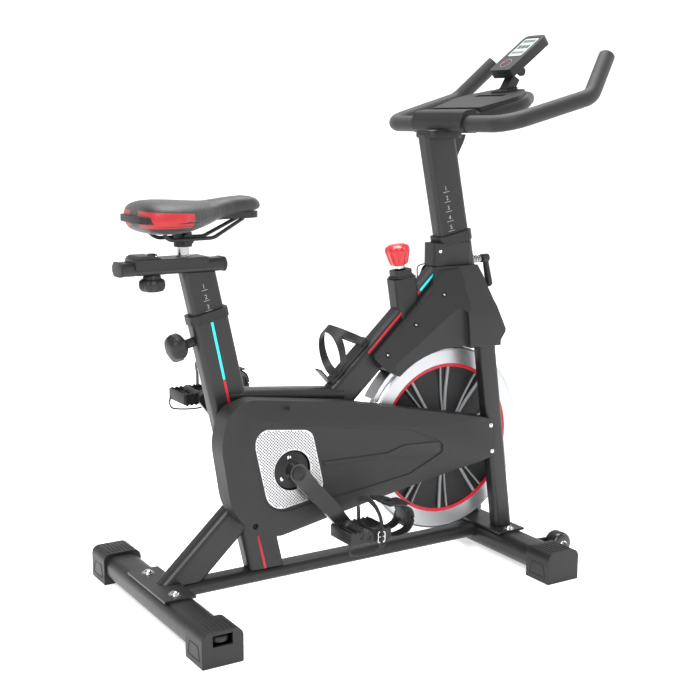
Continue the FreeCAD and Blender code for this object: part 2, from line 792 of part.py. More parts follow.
def belt_shape():
    """The toothed belt around both pulleys, running clear of them by the part gap."""
    start, end = spot(crank_x, 0, crank_z), spot(wheel_x, 0, wheel_z)
    y = -(belt_y + belt_half) + 0.5
    width = size("belt_width") - 1

    def loop(extra):
        big, small = float(big_r) + extra, float(small_r) + extra
        line = end - start
        tilt = math.acos((big - small) / line.Length)
        base = math.atan2(line.z, line.x)
        points = []
        for centre, radius in ((start, big), (end, small)):
            for sign in (1, -1):
                angle = base + sign * tilt
                points.append(centre + Vector(math.cos(angle), 0, math.sin(angle)) * radius)
        back = start - Vector(math.cos(base), 0, math.sin(base)) * big
        front = end + Vector(math.cos(base), 0, math.sin(base)) * small
        edges = [Part.Arc(points[0], back, points[1]).toShape(),
                 Part.LineSegment(points[1], points[3]).toShape(),
                 Part.Arc(points[3], front, points[2]).toShape(),
                 Part.LineSegment(points[2], points[0]).toShape()]
        return Part.Face(Part.Wire(edges))

    outer = loop(float(gap + size("belt_thickness")))
    ring = outer.cut(loop(float(gap)))
    ring.translate(Vector(0, float(y), 0))
    return ring.Faces[0].extrude(Vector(0, float(width), 0))


keep("drive_belt", shaped("drive_belt", belt_shape()))


def crank_arm(side, sign):
    """A dished crank arm with its pedal spindle, modelled pointing along the crank angle."""
    turn = math.radians(float(size("crank_angle")) + (0 if sign < 0 else 180))
    ahead = Vector(math.cos(turn), 0, math.sin(turn))
    across = Vector(-math.sin(turn), 0, math.cos(turn))
    out = Vector(0, sign, 0)
    root = spot(crank_x, sign * float(arm_y), crank_z)
    thick, dish = float(arm_thick), float(size("arm_dish"))
    reach = float(size("crank_length"))
    side_view = [(-24, -6), (18, -6), (52, 0), (reach - 46, dish), (reach + 20, dish),
                 (reach + 20, dish + thick), (reach - 52, dish + thick), (50, thick), (-24, thick)]
    wire = Part.makePolygon([root + ahead * a + out * b for a, b in side_view + side_view[:1]])
    arm = Part.Face(wire).extrude(across * 80)
    arm.translate(across * -40)
    r1, r2 = float(size("arm_root_radius")), float(size("arm_end_radius"))
    end = root + ahead * reach
    taper = Part.makePolygon([root + across * r1, end + across * r2, end - across * r2,
                              root - across * r1, root + across * r1])
    front = Part.Face(taper).extrude(out * 60)
    front = front.fuse([Part.makeCylinder(r1, 60, root, out), Part.makeCylinder(r2, 60, end, out)])
    front.translate(out * -10)
    arm = arm.common(front).removeSplitter()
    arm = arm.cut(Part.makeCylinder(float(axle), 20, root - out * 20, out))
    spindle_start = end + out * (dish + thick)
    spindle = Part.makeCylinder(float(size("spindle_radius")), float(size("pedal_width")) - 2,
                                spindle_start, out)
    return shaped(f"crank_arm_{side}_shape", arm.fuse(spindle).removeSplitter())


def pedal_axis(sign):
    """Inner end of a pedal's bore."""
    turn = math.radians(float(size("crank_angle")) + (0 if sign < 0 else 180))
    reach = float(size("crank_length"))
    inner = float(arm_y + arm_thick + size("arm_dish")) + 3
    return Vector(float(crank_x) + reach * math.cos(turn), sign * inner,
                  float(crank_z) + reach * math.sin(turn))


def pedal(side, sign):
    """A toothed cage pedal with its barrel, and the toe clip with its strap in front."""
    base = pedal_axis(sign)
    out = Vector(0, sign, 0)
    wide, deep, tall = (float(size(name)) for name in ("pedal_width", "pedal_depth", "pedal_height"))
    lead, rise = float(size("pedal_lead")), float(size("strap_rise"))
    bore_radius = float(size("spindle_radius") + run)

    def brick(x, y, z, length, width, height):
        low = y if sign > 0 else -(y + width)
        return Part.makeBox(length, width, height, Vector(base.x + lead + x, base.y + low, base.z + z))

    barrel = Part.makeCylinder(bore_radius + 7, wide, base, out)
    cage = [barrel]
    for x in (-deep / 2, deep / 2 - 5):
        cage.append(brick(x, 0, -tall / 2, 5, wide, tall))
    for y in (0, wide - 6):
        cage.append(brick(-deep / 2, y, -tall / 2 + 3, deep, 6, tall - 6))
    body = cage[0].fuse(cage[1:]).removeSplitter()
    body = body.cut(Part.makeCylinder(bore_radius, wide - 4, base, out))
    reach = float(size("clip_reach"))
    nose = deep / 2 + reach - 40
    clip = brick(deep / 2 + 0.2, 8, -tall / 2, 4, wide - 16, tall)
    floor = brick(deep / 2 + 0.2, 22, -tall / 2, nose - deep / 2, wide - 44, 3)
    front = brick(nose, 14, -tall / 2, 4, wide - 28, 66)
    roof = brick(nose - 46, 22, 50 - tall / 2, 48, wide - 44, 3)
    clip = clip.fuse([floor, front, roof]).removeSplitter()
    strap_x, strap_wide, strap_thick = 20 - deep / 2, 14, 1.4
    strap = brick(strap_x, -0.1 - strap_thick, tall / 2 - 4, strap_wide, strap_thick, rise + 6)
    strap = strap.fuse([
        brick(strap_x, wide + 0.1, tall / 2 - 30, strap_wide, strap_thick, rise + 32),
        brick(strap_x, -0.1 - strap_thick, tall / 2 + rise, strap_wide, wide + 2 * strap_thick + 0.2, 2)])
    strap = strap.removeSplitter()
    return shaped(f"pedal_{side}_shape", Part.makeCompound([body, clip, strap]))


for side, sign in SIDES:
    keep(f"crank_arm_{side}", crank_arm(side, sign))
    keep(f"pedal_{side}", pedal(side, sign))


# ---------------------------------------------------------------- belt cover

def cover_corners(inset):
    """Outline of the belt cover around both pulleys, drawn in by an inset."""
    corners = [(-269, 416, 58), (-52, 386, 200), (292, 314, 34), (314, 290, 12), (309, 230, 14),
               (276, 221, 40), (-212, 141, 60), (-262, 150, 80), (-318, 205, 90), (-338, 336, 110),
               (-322, 400, 40)]
    face = rounded_face(corners, Vector(0, 0, 0), X, Z)
    if inset:
        face = Part.Face(face.OuterWire.makeOffset2D(-inset))
    return face


def cover_half(outer_y, inner_y, wall_at):
    """One moulded half of the cover between two depths, with its flat wall at one of them."""
    skin = float(size("cover_wall"))
    depth = outer_y - inner_y
    body = cover_corners(0).extrude(Vector(0, -depth, 0))
    body.translate(Vector(0, -inner_y, 0))
    hollow = cover_corners(skin).extrude(Vector(0, -(depth - skin), 0))
    hollow.translate(Vector(0, -inner_y if wall_at == "outer" else -(inner_y + skin), 0))
    return body.cut(hollow)


doc.recompute()
cover_face, cover_seam, cover_back = (float(size(n)) for n in ("cover_face", "cover_seam", "cover_back"))
hole_r = float(size("cover_hole_radius"))
clear = 0.3
leg_clear = leg_forms[0].Shape.makeOffsetShape(clear, 0.01)
nut_clear = Part.makeCylinder(float(axle) + 6, 30, spot(wheel_x, -float(plate_y) - 13.5, wheel_z), Y)
outer_half = cover_half(cover_face, cover_seam, "outer")
tip_pad = cover_corners(0).extrude(Vector(0, -(cover_face - 71.5), 0))
tip_pad.translate(Vector(0, -71.5, 0))
tip_pad = tip_pad.common(Part.makeBox(60, 100, 200, Vector(282, -100, 180)))
grille_corners = [(-258, 352, 30), (-148, 343, 30), (-118, 216, 30), (-236, 203, 42)]
grille_face = rounded_face(grille_corners, Vector(0, -cover_face, 0), X, Z)
crank_hole = Part.makeCylinder(hole_r, 60, spot(crank_x, -cover_face - 5, crank_z), Y)
recess = grille_face.extrude(Vector(0, 1.2, 0))
outer_half = outer_half.fuse(tip_pad).cut([leg_clear, nut_clear, crank_hole, recess]).removeSplitter()
keep("belt_cover_outer", shaped("belt_cover_outer_shape", outer_half))
inner_half = cover_half(cover_seam, cover_back, "inner")
hub_hole = Part.makeCylinder(float(hub_r) + 4, 60, spot(wheel_x, -cover_seam - 5, wheel_z), Y)
shell_hole = Part.makeCylinder(float(axle) + 14, 60, spot(crank_x, -cover_seam - 5, crank_z), Y)
inner_half = inner_half.cut([leg_clear, hub_hole, shell_hole]).removeSplitter()
keep("belt_cover_inner", shaped("belt_cover_inner_shape", inner_half))
grille_plate = grille_face.cut(Part.Face(Part.Wire(Part.makeCircle(
    hole_r, spot(crank_x, -cover_face, crank_z), Y)))).extrude(Vector(0, 1.2, 0))
keep("cover_grille", shaped("cover_grille_shape", grille_plate))


# ---------------------------------------------------------------- shroud around the head and fork

def shroud_half(side, sign):
    """One half of the fork shroud: thin at the main tube, full depth over the legs."""
    skin, face_y, edge_y = (float(size(n)) for n in ("shroud_wall", "shroud_face", "shroud_edge"))
    inner_y = float(size("shroud_inner"))
    low, high = Vector(30, 0, 462), Vector(184, 0, 637)
    rise = (high - low).normalize()
    outward = Vector(rise.z, 0, -rise.x)
    top_z = 637.0
    rim_r = float(wheel_r) + 8
    angles = [math.radians(a) for a in (132, 100, 82)]
    rim = [spot(wheel_x + rim_r * math.cos(a), 0, wheel_z + rim_r * math.sin(a)) for a in angles]
    front = [Vector(312, 0, 470), Vector(332, 0, 499), Vector(303, 0, 567), Vector(283, 0, top_z)]

    def outline(shrink):
        run = [Part.LineSegment(low, high).toShape(), Part.LineSegment(high, front[3]).toShape(),
               Part.Arc(front[3], front[2], front[1]).toShape(),
               Part.LineSegment(front[1], front[0]).toShape(),
               Part.LineSegment(front[0], rim[2]).toShape(),
               Part.Arc(rim[2], rim[1], rim[0]).toShape(), Part.LineSegment(rim[0], low).toShape()]
        wire = Part.Wire(run)
        face = Part.Face(wire)
        return Part.Face(face.OuterWire.makeOffset2D(-shrink)) if shrink else face

    def solid(shrink, drop):
        body = outline(shrink).extrude(Vector(0, sign * 120, 0))
        if drop:
            lower = body.copy()
            lower.translate(Vector(0, 0, -drop))
            body = body.fuse(lower)
        slope = math.atan2(face_y - edge_y, 100.0)
        tilt_point = low + Vector(0, sign * (edge_y - shrink), 0)
        ramp = (outward * math.cos(slope) + Vector(0, sign * math.sin(slope), 0)).normalize()
        ramp_normal = (Vector(0, sign, 0) * math.cos(slope) - outward * math.sin(slope)).normalize()
        plane_face = Part.makePlane(2000, 2000, Vector(0, 0, 0), ramp_normal)
        centre = plane_face.CenterOfMass
        plane_face.translate(tilt_point - centre)
        body = body.cut(plane_face.extrude(ramp_normal * 400))
        low_y = face_y - shrink if sign > 0 else shrink - face_y - 200
        flat = Part.makeBox(900, 200, 900, Vector(-200, low_y, 0))
        return body.cut(flat)

    shell = solid(0, 0).cut(solid(skin, 14))
    keepout = Part.makeBox(900, 2 * inner_y, 900, Vector(-200, -inner_y, 0))
    shell = shell.cut(keepout)
    leg_form = leg_forms[0 if sign < 0 else 1].Shape
    shell = shell.cut([leg_form, crown.Shape, head_form.Shape])
    biggest = max(shell.Solids, key=lambda piece: piece.Volume)
    return shaped(f"shroud_{side}_shape", biggest)


for side, sign in SIDES:
    keep(f"shroud_{side}", shroud_half(side, sign))

# ---------------------------------------------------------------- sliding posts and their collars

def collar(name, at, lean, post_deep, post_wide, post_corner, tube_deep, tube_wide, tube_corner, tall):
    """A plastic collar on a tube's mouth with a sleeve down inside it, around a sliding post."""
    frame = leaning(lean, at)
    sleeve_length = 60.0
    down = Placement(at - frame.Rotation.multVec(Z) * sleeve_length, frame.Rotation)
    ring = bar(name + "_ring", tube_deep + 5, tube_wide + 5, tube_corner + 2, tall, frame)
    sleeve = bar(name + "_sleeve", tube_deep - 2 * wall, tube_wide - 2 * wall, tube_corner - wall,
                 sleeve_length, down)
    bore_start = Placement(at - frame.Rotation.multVec(Z) * (sleeve_length + 1), frame.Rotation)
    bore = bar(name + "_bore", post_deep + 2 * gap, post_wide + 2 * gap, post_corner + gap,
               tall + sleeve_length + 2, bore_start)
    return cut(name, fuse(name + "_body", ring, sleeve), bore)


seat_top_point = on_axis(seat_foot, seat_lean, size("seat_tube_top"))
post_sizes = (size("post_depth"), size("post_width"), size("post_corner"))
keep("seat_collar", collar("seat_collar", seat_top_point, seat_lean, *post_sizes, *seat_sizes, 17.0))
bar_post_sizes = (size("bar_post_depth"), size("bar_post_width"), size("bar_post_corner"))
head_mouth = head_base + head_dir * float(head_length)
keep("head_collar", collar("head_collar", head_mouth, head_lean, *bar_post_sizes, *head_sizes, 20.0))

# the head block is a moulded cap around the top of the head tube
block_low, block_high = 637.5, float(size("head_top"))
block_rear, block_front, block_half = 185.0, 281.0, 24.0
collar_form = bar("collar_form", size("head_depth") + 6, size("head_width") + 6, size("head_corner") + 2,
                  60.0, leaning(head_lean, head_mouth))
doc.recompute()
block_face = rounded_face([(block_rear, -block_half, 11), (block_front, -block_half, 11),
                           (block_front, block_half, 11), (block_rear, block_half, 11)],
                          Vector(0, 0, block_low), X, Y)
head_block = block_face.extrude(Vector(0, 0, block_high - block_low))
head_block = head_block.cut([head_form.Shape, main_form.Shape, collar_form.Shape])
keep("head_cover", shaped("head_cover_shape", max(head_block.Solids, key=lambda piece: piece.Volume)))

seat_rail_bottom = size("seat_rail_bottom")
post_top_point = on_axis(seat_foot, seat_lean, seat_rail_bottom)
post_length = size("post_length")
post_raw = bar("seat_post_raw", *post_sizes, post_length + 20,
               leaning(seat_lean, post_top_point - seat_dir * float(post_length)), wall)
rail_rear = size("seat_rail_rear")
above_post = block("above_post", 300.0, 120.0, 200.0, post_top_point.x - 150, -60.0, seat_rail_bottom)
keep("seat_post", cut("seat_post", post_raw, above_post))

# seat rail: a level tube with a slot for the carriage bolt, closed by end caps
rail_len, rail_tall = size("seat_rail_length"), size("seat_rail_height")
rail_sizes = (rail_tall, size("seat_rail_width"), 8.0)
rail_raw = bar("seat_rail_raw", *rail_sizes, rail_len,
               Placement(spot(rail_rear, 0, seat_rail_bottom + rail_tall / 2), Rotation(Z, -Y, X, "ZXY")))
carriage_slide = 45.0
bolt_x = size("carriage_bolt_x")
slot_wide = size("seat_rail_slot")
slot = block("seat_rail_slot_block", carriage_slide * 2 + slot_wide, slot_wide, 80.0,
             bolt_x - carriage_slide - slot_wide / 2, -slot_wide / 2,
             seat_rail_bottom - 20)
keep("seat_rail", cut("seat_rail", rail_raw, slot))

# carriage: a channel over the rail, with the saddle stem on top and a bolt down to the knob
rail_top = seat_rail_bottom + rail_tall
carriage_wall = size("carriage_wall")
carriage_len = size("carriage_length")
carriage_x = size("carriage_rear")
half_channel = size("seat_rail_width") / 2 + gap
channel = block("channel", carriage_len, 2 * half_channel + 2 * carriage_wall, carriage_wall + 14,
                carriage_x, -half_channel - carriage_wall, rail_top + gap - 14)
channel_hollow = block("channel_hollow", carriage_len + 2, 2 * half_channel, 14.0,
                       carriage_x - 1, -half_channel, rail_top + gap - 14)
channel_cut = cut("channel_open", channel, channel_hollow)
knob_top = seat_rail_bottom - gap * 2
bolt = rod("carriage_bolt", size("spindle_radius"), rail_top + 6 - knob_top + 16,
           place(bolt_x, 0, knob_top - 16))
bolt_cap = rod("carriage_bolt_head", 11.0, 5.0, place(bolt_x, 0, rail_top + carriage_wall + gap))
stem = rod("saddle_stem", size("stem_radius"), 22.0, place(size("stem_x"), 0, rail_top + carriage_wall + gap))
keep("saddle_carriage", fuse("saddle_carriage", channel_cut, bolt, bolt_cap, stem))
knob_r, knob_h = size("carriage_knob_radius"), size("carriage_knob_height")
bolt_r = size("spindle_radius")
keep("carriage_knob", turned("carriage_knob", [
    (bolt_r + run, -knob_h / 2), (bolt_r + run, 0.0), (knob_r * 0.62, 0.0), (knob_r * 0.66, -8.0),
    (knob_r, -11.0), (knob_r, 3 - knob_h), (knob_r - 4, -knob_h), (0.0, -knob_h), (0.0, -knob_h / 2 - 1.5),
    (bolt_r + run, -knob_h / 2 - 1.5)],
    place(bolt_x, 0, knob_top)))

# saddle: clamp with its two bent wire rails, moulded base and cushion
clamp_x, clamp_z = size("clamp_x"), size("clamp_z")
clamp_body = rod("clamp_body", 17.0, 26.0, place(clamp_x, 0, clamp_z - 26 + 11))
clamp_bore = rod("clamp_bore", size("stem_radius") + run, 60.0, place(clamp_x, 0, clamp_z - 60 + 4))
clamp_bar = rod("clamp_bar", 11.0, 52.0, Placement(spot(clamp_x, 26, clamp_z), Rotation(X, 90)))
wire = float(size("wire_radius"))
saddle_rear, saddle_len = float(size("saddle_rear")), float(size("saddle_length"))
saddle_top = float(size("saddle_top"))
under = saddle_top - float(size("saddle_thickness"))
wires = []
for side, sign in SIDES:
    route = [Vector(saddle_rear + 42, sign * 46, under - 12),
             Vector(saddle_rear + 66, sign * 30, float(clamp_z)),
             Vector(float(clamp_x) + 52, sign * 22, float(clamp_z)),
             Vector(saddle_rear + saddle_len - 42, sign * 12, under - 12)]
    wires.append(pipe(route, [24.0, 30.0], wire))
clamp_shape = fuse("saddle_clamp_body", clamp_body, clamp_bar)
doc.recompute()
tilt_room = []
for lean_degrees in (-10.5, -5.0, 0.0, 5.0, 10.5):
    leaning_bore = clamp_bore.Shape.copy()
    leaning_bore.rotate(spot(clamp_x, 0, clamp_z), Y, lean_degrees)
    tilt_room.append(leaning_bore)
clamp_metal = clamp_shape.Shape.fuse(wires).cut(tilt_room)
keep("saddle_clamp", shaped("saddle_clamp_shape", clamp_metal.removeSplitter()))


def saddle_plan(grow):
    """Half-widths of the saddle along its length, as a smooth closed outline seen from above."""
    wide, nose = float(size("saddle_width")) / 2 + grow, float(size("saddle_nose_width")) / 2 + grow
    shares = [(0.0, 0.55), (0.07, 0.86), (0.22, 1.0), (0.42, 0.78)]
    side_points = [Vector(saddle_rear - grow + saddle_len * a, wide * b, 0) for a, b in shares]
    side_points += [Vector(saddle_rear + saddle_len * 0.62, nose * 1.25, 0),
                    Vector(saddle_rear + saddle_len * 0.86, nose * 0.92, 0),
                    Vector(saddle_rear + saddle_len * 0.965 + grow, nose * 0.6, 0)]
    tip = Vector(saddle_rear + saddle_len + grow, 0, 0)
    other = [Vector(p.x, -p.y, 0) for p in reversed(side_points)]
    curve = Part.BSplineCurve()
    curve.interpolate(side_points + [tip] + other)
    closing = Part.LineSegment(other[-1], side_points[0]).toShape()
    return Part.Face(Part.Wire([curve.toShape(), closing]))


base_thick = 6.0
saddle_base = saddle_plan(-6).extrude(Vector(0, 0, base_thick + 6))
saddle_base.translate(Vector(0, 0, under - base_thick - 6))
saddle_base = saddle_base.cut(saddle_plan(-9).extrude(Vector(0, 0, 6)).translated(Vector(0, 0, under - 12)))
pads = [Part.makeBox(60, 14, 12, Vector(saddle_rear + 12, -60, under - 12)),
        Part.makeBox(60, 14, 12, Vector(saddle_rear + 12, 46, under - 12)),
        Part.makeBox(30, 34, 12, Vector(saddle_rear + saddle_len - 52, -17, under - 12))]
saddle_base = saddle_base.fuse([pad for pad in pads]).cut(wires).removeSplitter()
keep("saddle_base", shaped("saddle_base_shape", saddle_base))
cushion = saddle_plan(0).extrude(Vector(0, 0, saddle_top - under)).translated(Vector(0, 0, under))
skirt = saddle_plan(0).cut(saddle_plan(-5.7)).extrude(Vector(0, 0, -22)).translated(Vector(0, 0, under))
rear_skirt = skirt.common(Part.makeBox(165, 300, 60, Vector(saddle_rear - 5, -150, under - 40)))
cushion = cushion.fuse(rear_skirt).cut(saddle_base).removeSplitter()
keep("saddle_cushion", shaped("saddle_cushion_shape", cushion))

# spring pin that locks the seat post, pulled out backwards by its knob
pin_place = on_axis(seat_foot, seat_lean, size("pin_height"))
pin_dir = leaning(seat_lean, pin_place).Rotation.multVec(-X)
pin_root = pin_place + pin_dir * (float(size("seat_tube_depth")) / 2)
pin_r = size("pin_knob_radius")
keep("seat_pin", turned("seat_pin", [
    (0.0, 1.0), (9.0, 1.0), (9.0, 20.0), (pin_r * 0.55, 22.0), (pin_r, 30.0), (pin_r, 46.0),
    (pin_r * 0.85, 52.0), (0.0, 54.0)], along(pin_dir, pin_root)))


# ---------------------------------------------------------------- handlebar group

bar_post_top = size("bar_post_top")
bar_post_start = on_axis(head_point, head_lean, size("bar_post_bottom"))
bar_post_length = (bar_post_top - size("bar_post_bottom")) / math.cos(math.radians(float(head_lean)))
bar_x, bar_z, bar_r = size("bar_x"), size("bar_z"), float(size("bar_radius"))
post_raw = bar("bar_post_raw", *bar_post_sizes, bar_post_length + 40,
               leaning(head_lean, bar_post_start), wall)
over_post = block("over_post", 300.0, 120.0, 200.0, bar_x - 150, -60.0, bar_z - bar_r - 5)
gusset = plate("post_gusset", [(0.0, 0.0), (34.0, 0.0), (30.0, -12.0), (4.0, -62.0), (-6.0, -62.0)], 5.0,
               Placement(on_axis(head_point, head_lean, bar_z - bar_r - 5)
                         + spot(size("bar_post_depth") / 2 + 3, 2.5, 0), Rotation(X, 90)))
doc.recompute()
post_form = bar("bar_post_form", *bar_post_sizes, bar_post_length + 40,
                leaning(head_lean, bar_post_start))
keep("handlebar_post", group("handlebar_post_group", [
    cut("bar_post_cut", post_raw, over_post), cut("gusset_cut", gusset, post_form)]))

half_span, elbow_x, elbow_z = (float(size(n)) for n in ("bar_half_width", "elbow_x", "elbow_z"))
tip = spot(size("tip_x"), half_span + float(size("elbow_flare")) - float(size("tip_inset")), size("tip_z"))
bx, bz = float(bar_x), float(bar_z)


def flipped(point):
    """The same point on the other side of the bike."""
    return Vector(point.x, -point.y, point.z)


corner_point = Vector(bx, half_span - 8, bz)
elbow = Vector(elbow_x, half_span + float(size("elbow_flare")), elbow_z)
bar_route = [tip, elbow, corner_point, flipped(corner_point), flipped(elbow), flipped(tip)]
bends = [float(size(name)) for name in ("elbow_corner", "bar_corner", "bar_corner", "elbow_corner")]
outer_bar = pipe(bar_route, bends, bar_r)
inner_bar = pipe(bar_route, bends, bar_r - 2.0)
plugs = [Part.makeCylinder(bar_r - 2.0, 5, start, (towards - start))
         for start, towards in ((tip, elbow), (flipped(tip), flipped(elbow)))]
keep("handlebar", shaped("handlebar_shape", outer_bar.cut(inner_bar).fuse(plugs).removeSplitter()))

# moulded bracket cover around the cross bar, with a foot over the post's mouth
bracket_half = float(size("bracket_length")) / 2
bracket_section = [(bx - 24, bz - 18, 10), (bx + 26, bz - 18, 10), (bx + 30, bz + 8, 10),
                   (bx + 22, bz + 30, 10), (bx - 14, bz + 26, 14), (bx - 24, bz + 4, 8)]
bracket = rounded_face(bracket_section, Vector(0, -bracket_half, 0), X, Z).extrude(Y * (2 * bracket_half))
foot_face = rounded_face([(bx - 55, -30, 14), (bx + 30, -30, 14), (bx + 30, 30, 14), (bx - 55, 30, 14)],
                         Vector(0, 0, bz - bar_r - 10), X, Y)
bracket = bracket.fuse(foot_face.extrude(Z * 14)).cut([outer_bar])
doc.recompute()
post_mouth = post_form.Shape.common(over_post.Shape.translated(Z * -12))
bracket = bracket.cut([nodes["handlebar_post"].Shape, post_mouth])
keep("bar_bracket", shaped("bar_bracket_shape", max(bracket.removeSplitter().Solids, key=lambda p: p.Volume)))

# the loop tube in front of the bracket, and the ribbed tray that lies on it
loop_r = float(size("loop_radius"))
loop_half, loop_front = float(size("loop_half_width")), float(size("loop_front_x"))
rise = math.radians(float(size("loop_rise")))
loop_start = Vector(bx + 26, bracket_half - 17, bz + 12)
climb = math.tan(rise)


def on_loop(x, y):
    """A point in the loop's rising plane."""
    return Vector(x, y, loop_start.z + (x - loop_start.x) * climb)


loop_side, loop_nose = on_loop(loop_front - 58, loop_half), on_loop(loop_front, loop_half * 0.45)
loop_route = [loop_start, loop_side, loop_nose, flipped(loop_nose), flipped(loop_side), flipped(loop_start)]
loop_bends = [40.0, 30.0, 30.0, 40.0]
loop_solid = pipe(loop_route, loop_bends, loop_r)
loop_shape = loop_solid.cut(pipe(loop_route, loop_bends, loop_r - 1.5))
keep("arm_loop", shaped("arm_loop_shape", loop_shape.cut(bracket)))
tray_t = float(size("tray_thickness"))
tray_plane_u = Vector(math.cos(rise), 0, math.sin(rise))
tray_up = Vector(-math.sin(rise), 0, math.cos(rise))
tray_start = loop_start + Vector(8, 0, 0)
tray_start.y = 0
tray_len = (loop_front - loop_start.x) / math.cos(rise) - 12
tray_nose = loop_half * 0.42
tray_wide = loop_half + 2
tray_face = rounded_face([(0, -bracket_half, 4), (tray_len - 58, -tray_wide, 34), (tray_len, -tray_nose, 28),
                          (tray_len, tray_nose, 28), (tray_len - 58, tray_wide, 34), (0, bracket_half, 4)],
                         tray_start + tray_up * (loop_r + 0.4), tray_plane_u, Y)
tray = tray_face.extrude(tray_up * tray_t)
slot_start = tray_start + tray_plane_u * (tray_len - 62) + tray_up * (loop_r + 4)
slot_box = Part.makeBox(14, 96, 20)
slot_box.Placement = Placement(slot_start + Vector(0, -48, 0), Rotation(Y, -math.degrees(rise)))
keep("media_tray", shaped("media_tray_shape", tray.cut([slot_box, bracket, loop_solid])))

# console on its neck
tilt = math.radians(float(size("console_angle")))
con_u = Vector(math.cos(tilt), 0, math.sin(tilt))
con_n = Vector(-math.sin(tilt), 0, math.cos(tilt))
con_len, con_wide, con_t = (float(size(n)) for n in ("console_length", "console_width", "console_thickness"))
con_mid = spot(size("console_x"), 0, size("console_z"))
con_face = rounded_face([(-con_len / 2, -con_wide / 2, 6), (con_len / 2, -con_wide / 2, 12),
                         (con_len / 2, con_wide / 2, 12), (-con_len / 2, con_wide / 2, 6)],
                        con_mid - con_n * con_t, con_u, Y)
console = con_face.extrude(con_n * con_t)
button_spot = con_mid - con_u * (con_len / 2 - 24)
pocket = Part.makeCylinder(11.5, 6, button_spot - con_n * 6, con_n)
screen_face = rounded_face([(-con_len / 2 + 46, -24, 3), (con_len / 2 - 8, -24, 3),
                            (con_len / 2 - 8, 24, 3), (-con_len / 2 + 46, 24, 3)],
                           con_mid - con_n * 1.0, con_u, Y)
console = console.cut([pocket, screen_face.extrude(con_n * 3)])
ear_axis = con_mid - con_u * 28 - con_n * (con_t + 8.4)
ears = [Part.makeCylinder(9.5, 5, ear_axis + Y * y, Y) for y in (17.5, -22.5)]
keep("console_housing", shaped("console_housing_shape", console.fuse(ears).removeSplitter()))
button = Part.makeCylinder(11.0, 5.2, button_spot - con_n * 4.4, con_n)
keep("console_button", shaped("console_button_shape", button))
tray_top_front = tray_start + tray_plane_u * (tray_len - 26) + tray_up * (loop_r + 0.4 + tray_t)
neck_top = con_mid - con_u * 28 - con_n * (con_t + 0.4)
neck = Part.makeCylinder(8.0, 34.0, neck_top + Vector(0, -17, 0), Y)
neck.translate(con_n * -8)
stalk_dir = (neck_top - con_n * 8 - tray_top_front)
stalk = Part.makeBox(20, 24, stalk_dir.Length - 8)
stalk.Placement = Placement(tray_top_front + Vector(-10, -12, 0), Rotation(Z, stalk_dir))
pad = rounded_face([(-20, -26, 8), (18, -26, 8), (18, 26, 8), (-20, 26, 8)],
                   tray_top_front + tray_up * 0.2, tray_plane_u, Y).extrude(tray_up * 7)
mount_shape = neck.fuse([stalk, pad]).removeSplitter().cut(console.translated(con_n * -0.4))
tray_clear = tray.translated(tray_up * 0.2)
mount_shape = mount_shape.cut([tray, tray_clear])
mount_shape = max(mount_shape.Solids, key=lambda p: p.Volume)
keep("console_mount", shaped("console_mount_shape", mount_shape))


# ---------------------------------------------------------------- brake, lever, boot and bottle cage

brake_lean = size("brake_lean")
brake_foot = Vector(float(size("brake_x")), 0, main_height(size("brake_x")))
brake_dir = leaning(brake_lean, brake_foot).Rotation.multVec(Z)
knob_base = on_axis(brake_foot, brake_lean, size("brake_knob_base"))
brake_r = size("brake_knob_radius")
rod_r = float(size("brake_rod_radius"))
rod_low = on_axis(brake_foot, brake_lean, main_height(size("brake_x")) - 62)
rod_length = (knob_base - rod_low).Length + 22
rod_shape = Part.makeCylinder(rod_r, rod_length, rod_low, brake_dir)
rod_shape = rod_shape.fuse(Part.makeCylinder(10.0, 5.0, knob_base - brake_dir * 8, brake_dir))
keep("brake_rod", shaped("brake_rod_shape", rod_shape.removeSplitter()))
knob_tall = size("brake_knob_height")
knob_bore = rod_r + run + 0.15
keep("brake_knob", turned("brake_knob", [
    (knob_bore, 0.0), (brake_r * 0.72, 0.0), (brake_r * 0.96, knob_tall * 0.62), (brake_r, knob_tall * 0.7),
    (brake_r * 0.92, knob_tall * 0.92), (brake_r * 0.7, knob_tall), (0.0, knob_tall), (0.0, 23.0),
    (knob_bore, 23.0)], leaning(brake_lean, knob_base)))
rod_channel = Part.makeCylinder(rod_r + 2, 260, rod_low - brake_dir * 20, brake_dir)

boot_low = brake_foot - brake_dir * 10
boot_outer = bar("boot_outer", size("boot_depth"), 44.0, 12.0, 90.0, leaning(brake_lean, boot_low))
boot_hole = rod("boot_hole", 12.0, 130.0, leaning(brake_lean, boot_low - brake_dir * 10))
boot_tall = (knob_base - boot_low).Length - 12
boot_top = bar("boot_top", size("boot_depth") - 14, 40.0, 12.0, boot_tall, leaning(brake_lean, boot_low))
keep("brake_boot", cut("brake_boot", fuse("boot_body", boot_outer, boot_top), main_form, boot_hole))

# the rod passes through the main tube, which also carries two cheeks for the brake's pivot
pivot_angle = math.radians(128)
pivot_r = float(wheel_r) + 21
arm_pivot = spot(wheel_x + pivot_r * math.cos(pivot_angle), 0, wheel_z + pivot_r * math.sin(pivot_angle))
pin_radius = 4.0
cheek_thickness = 3.0
main_half = float(size("main_width")) / 2
cheeks = []
for side, sign in SIDES:
    outline = [(-14.0, 30.0), (24.0, 62.0), (12.0, -9.0), (-8.0, -9.0)]
    y = main_half + cheek_thickness if sign > 0 else -main_half
    cheeks.append(plate(f"cheek_{side}", outline, cheek_thickness,
                        Placement(arm_pivot + Vector(0, y, 0), Rotation(X, 90))))
pin = rod("brake_pin", pin_radius, 2 * main_half, Placement(arm_pivot + Y * main_half, Rotation(X, 90)))
hole_tool = shaped("brake_hole", rod_channel)
drilled = cut("main_tube_drilled", nodes["main_tube"], hole_tool)
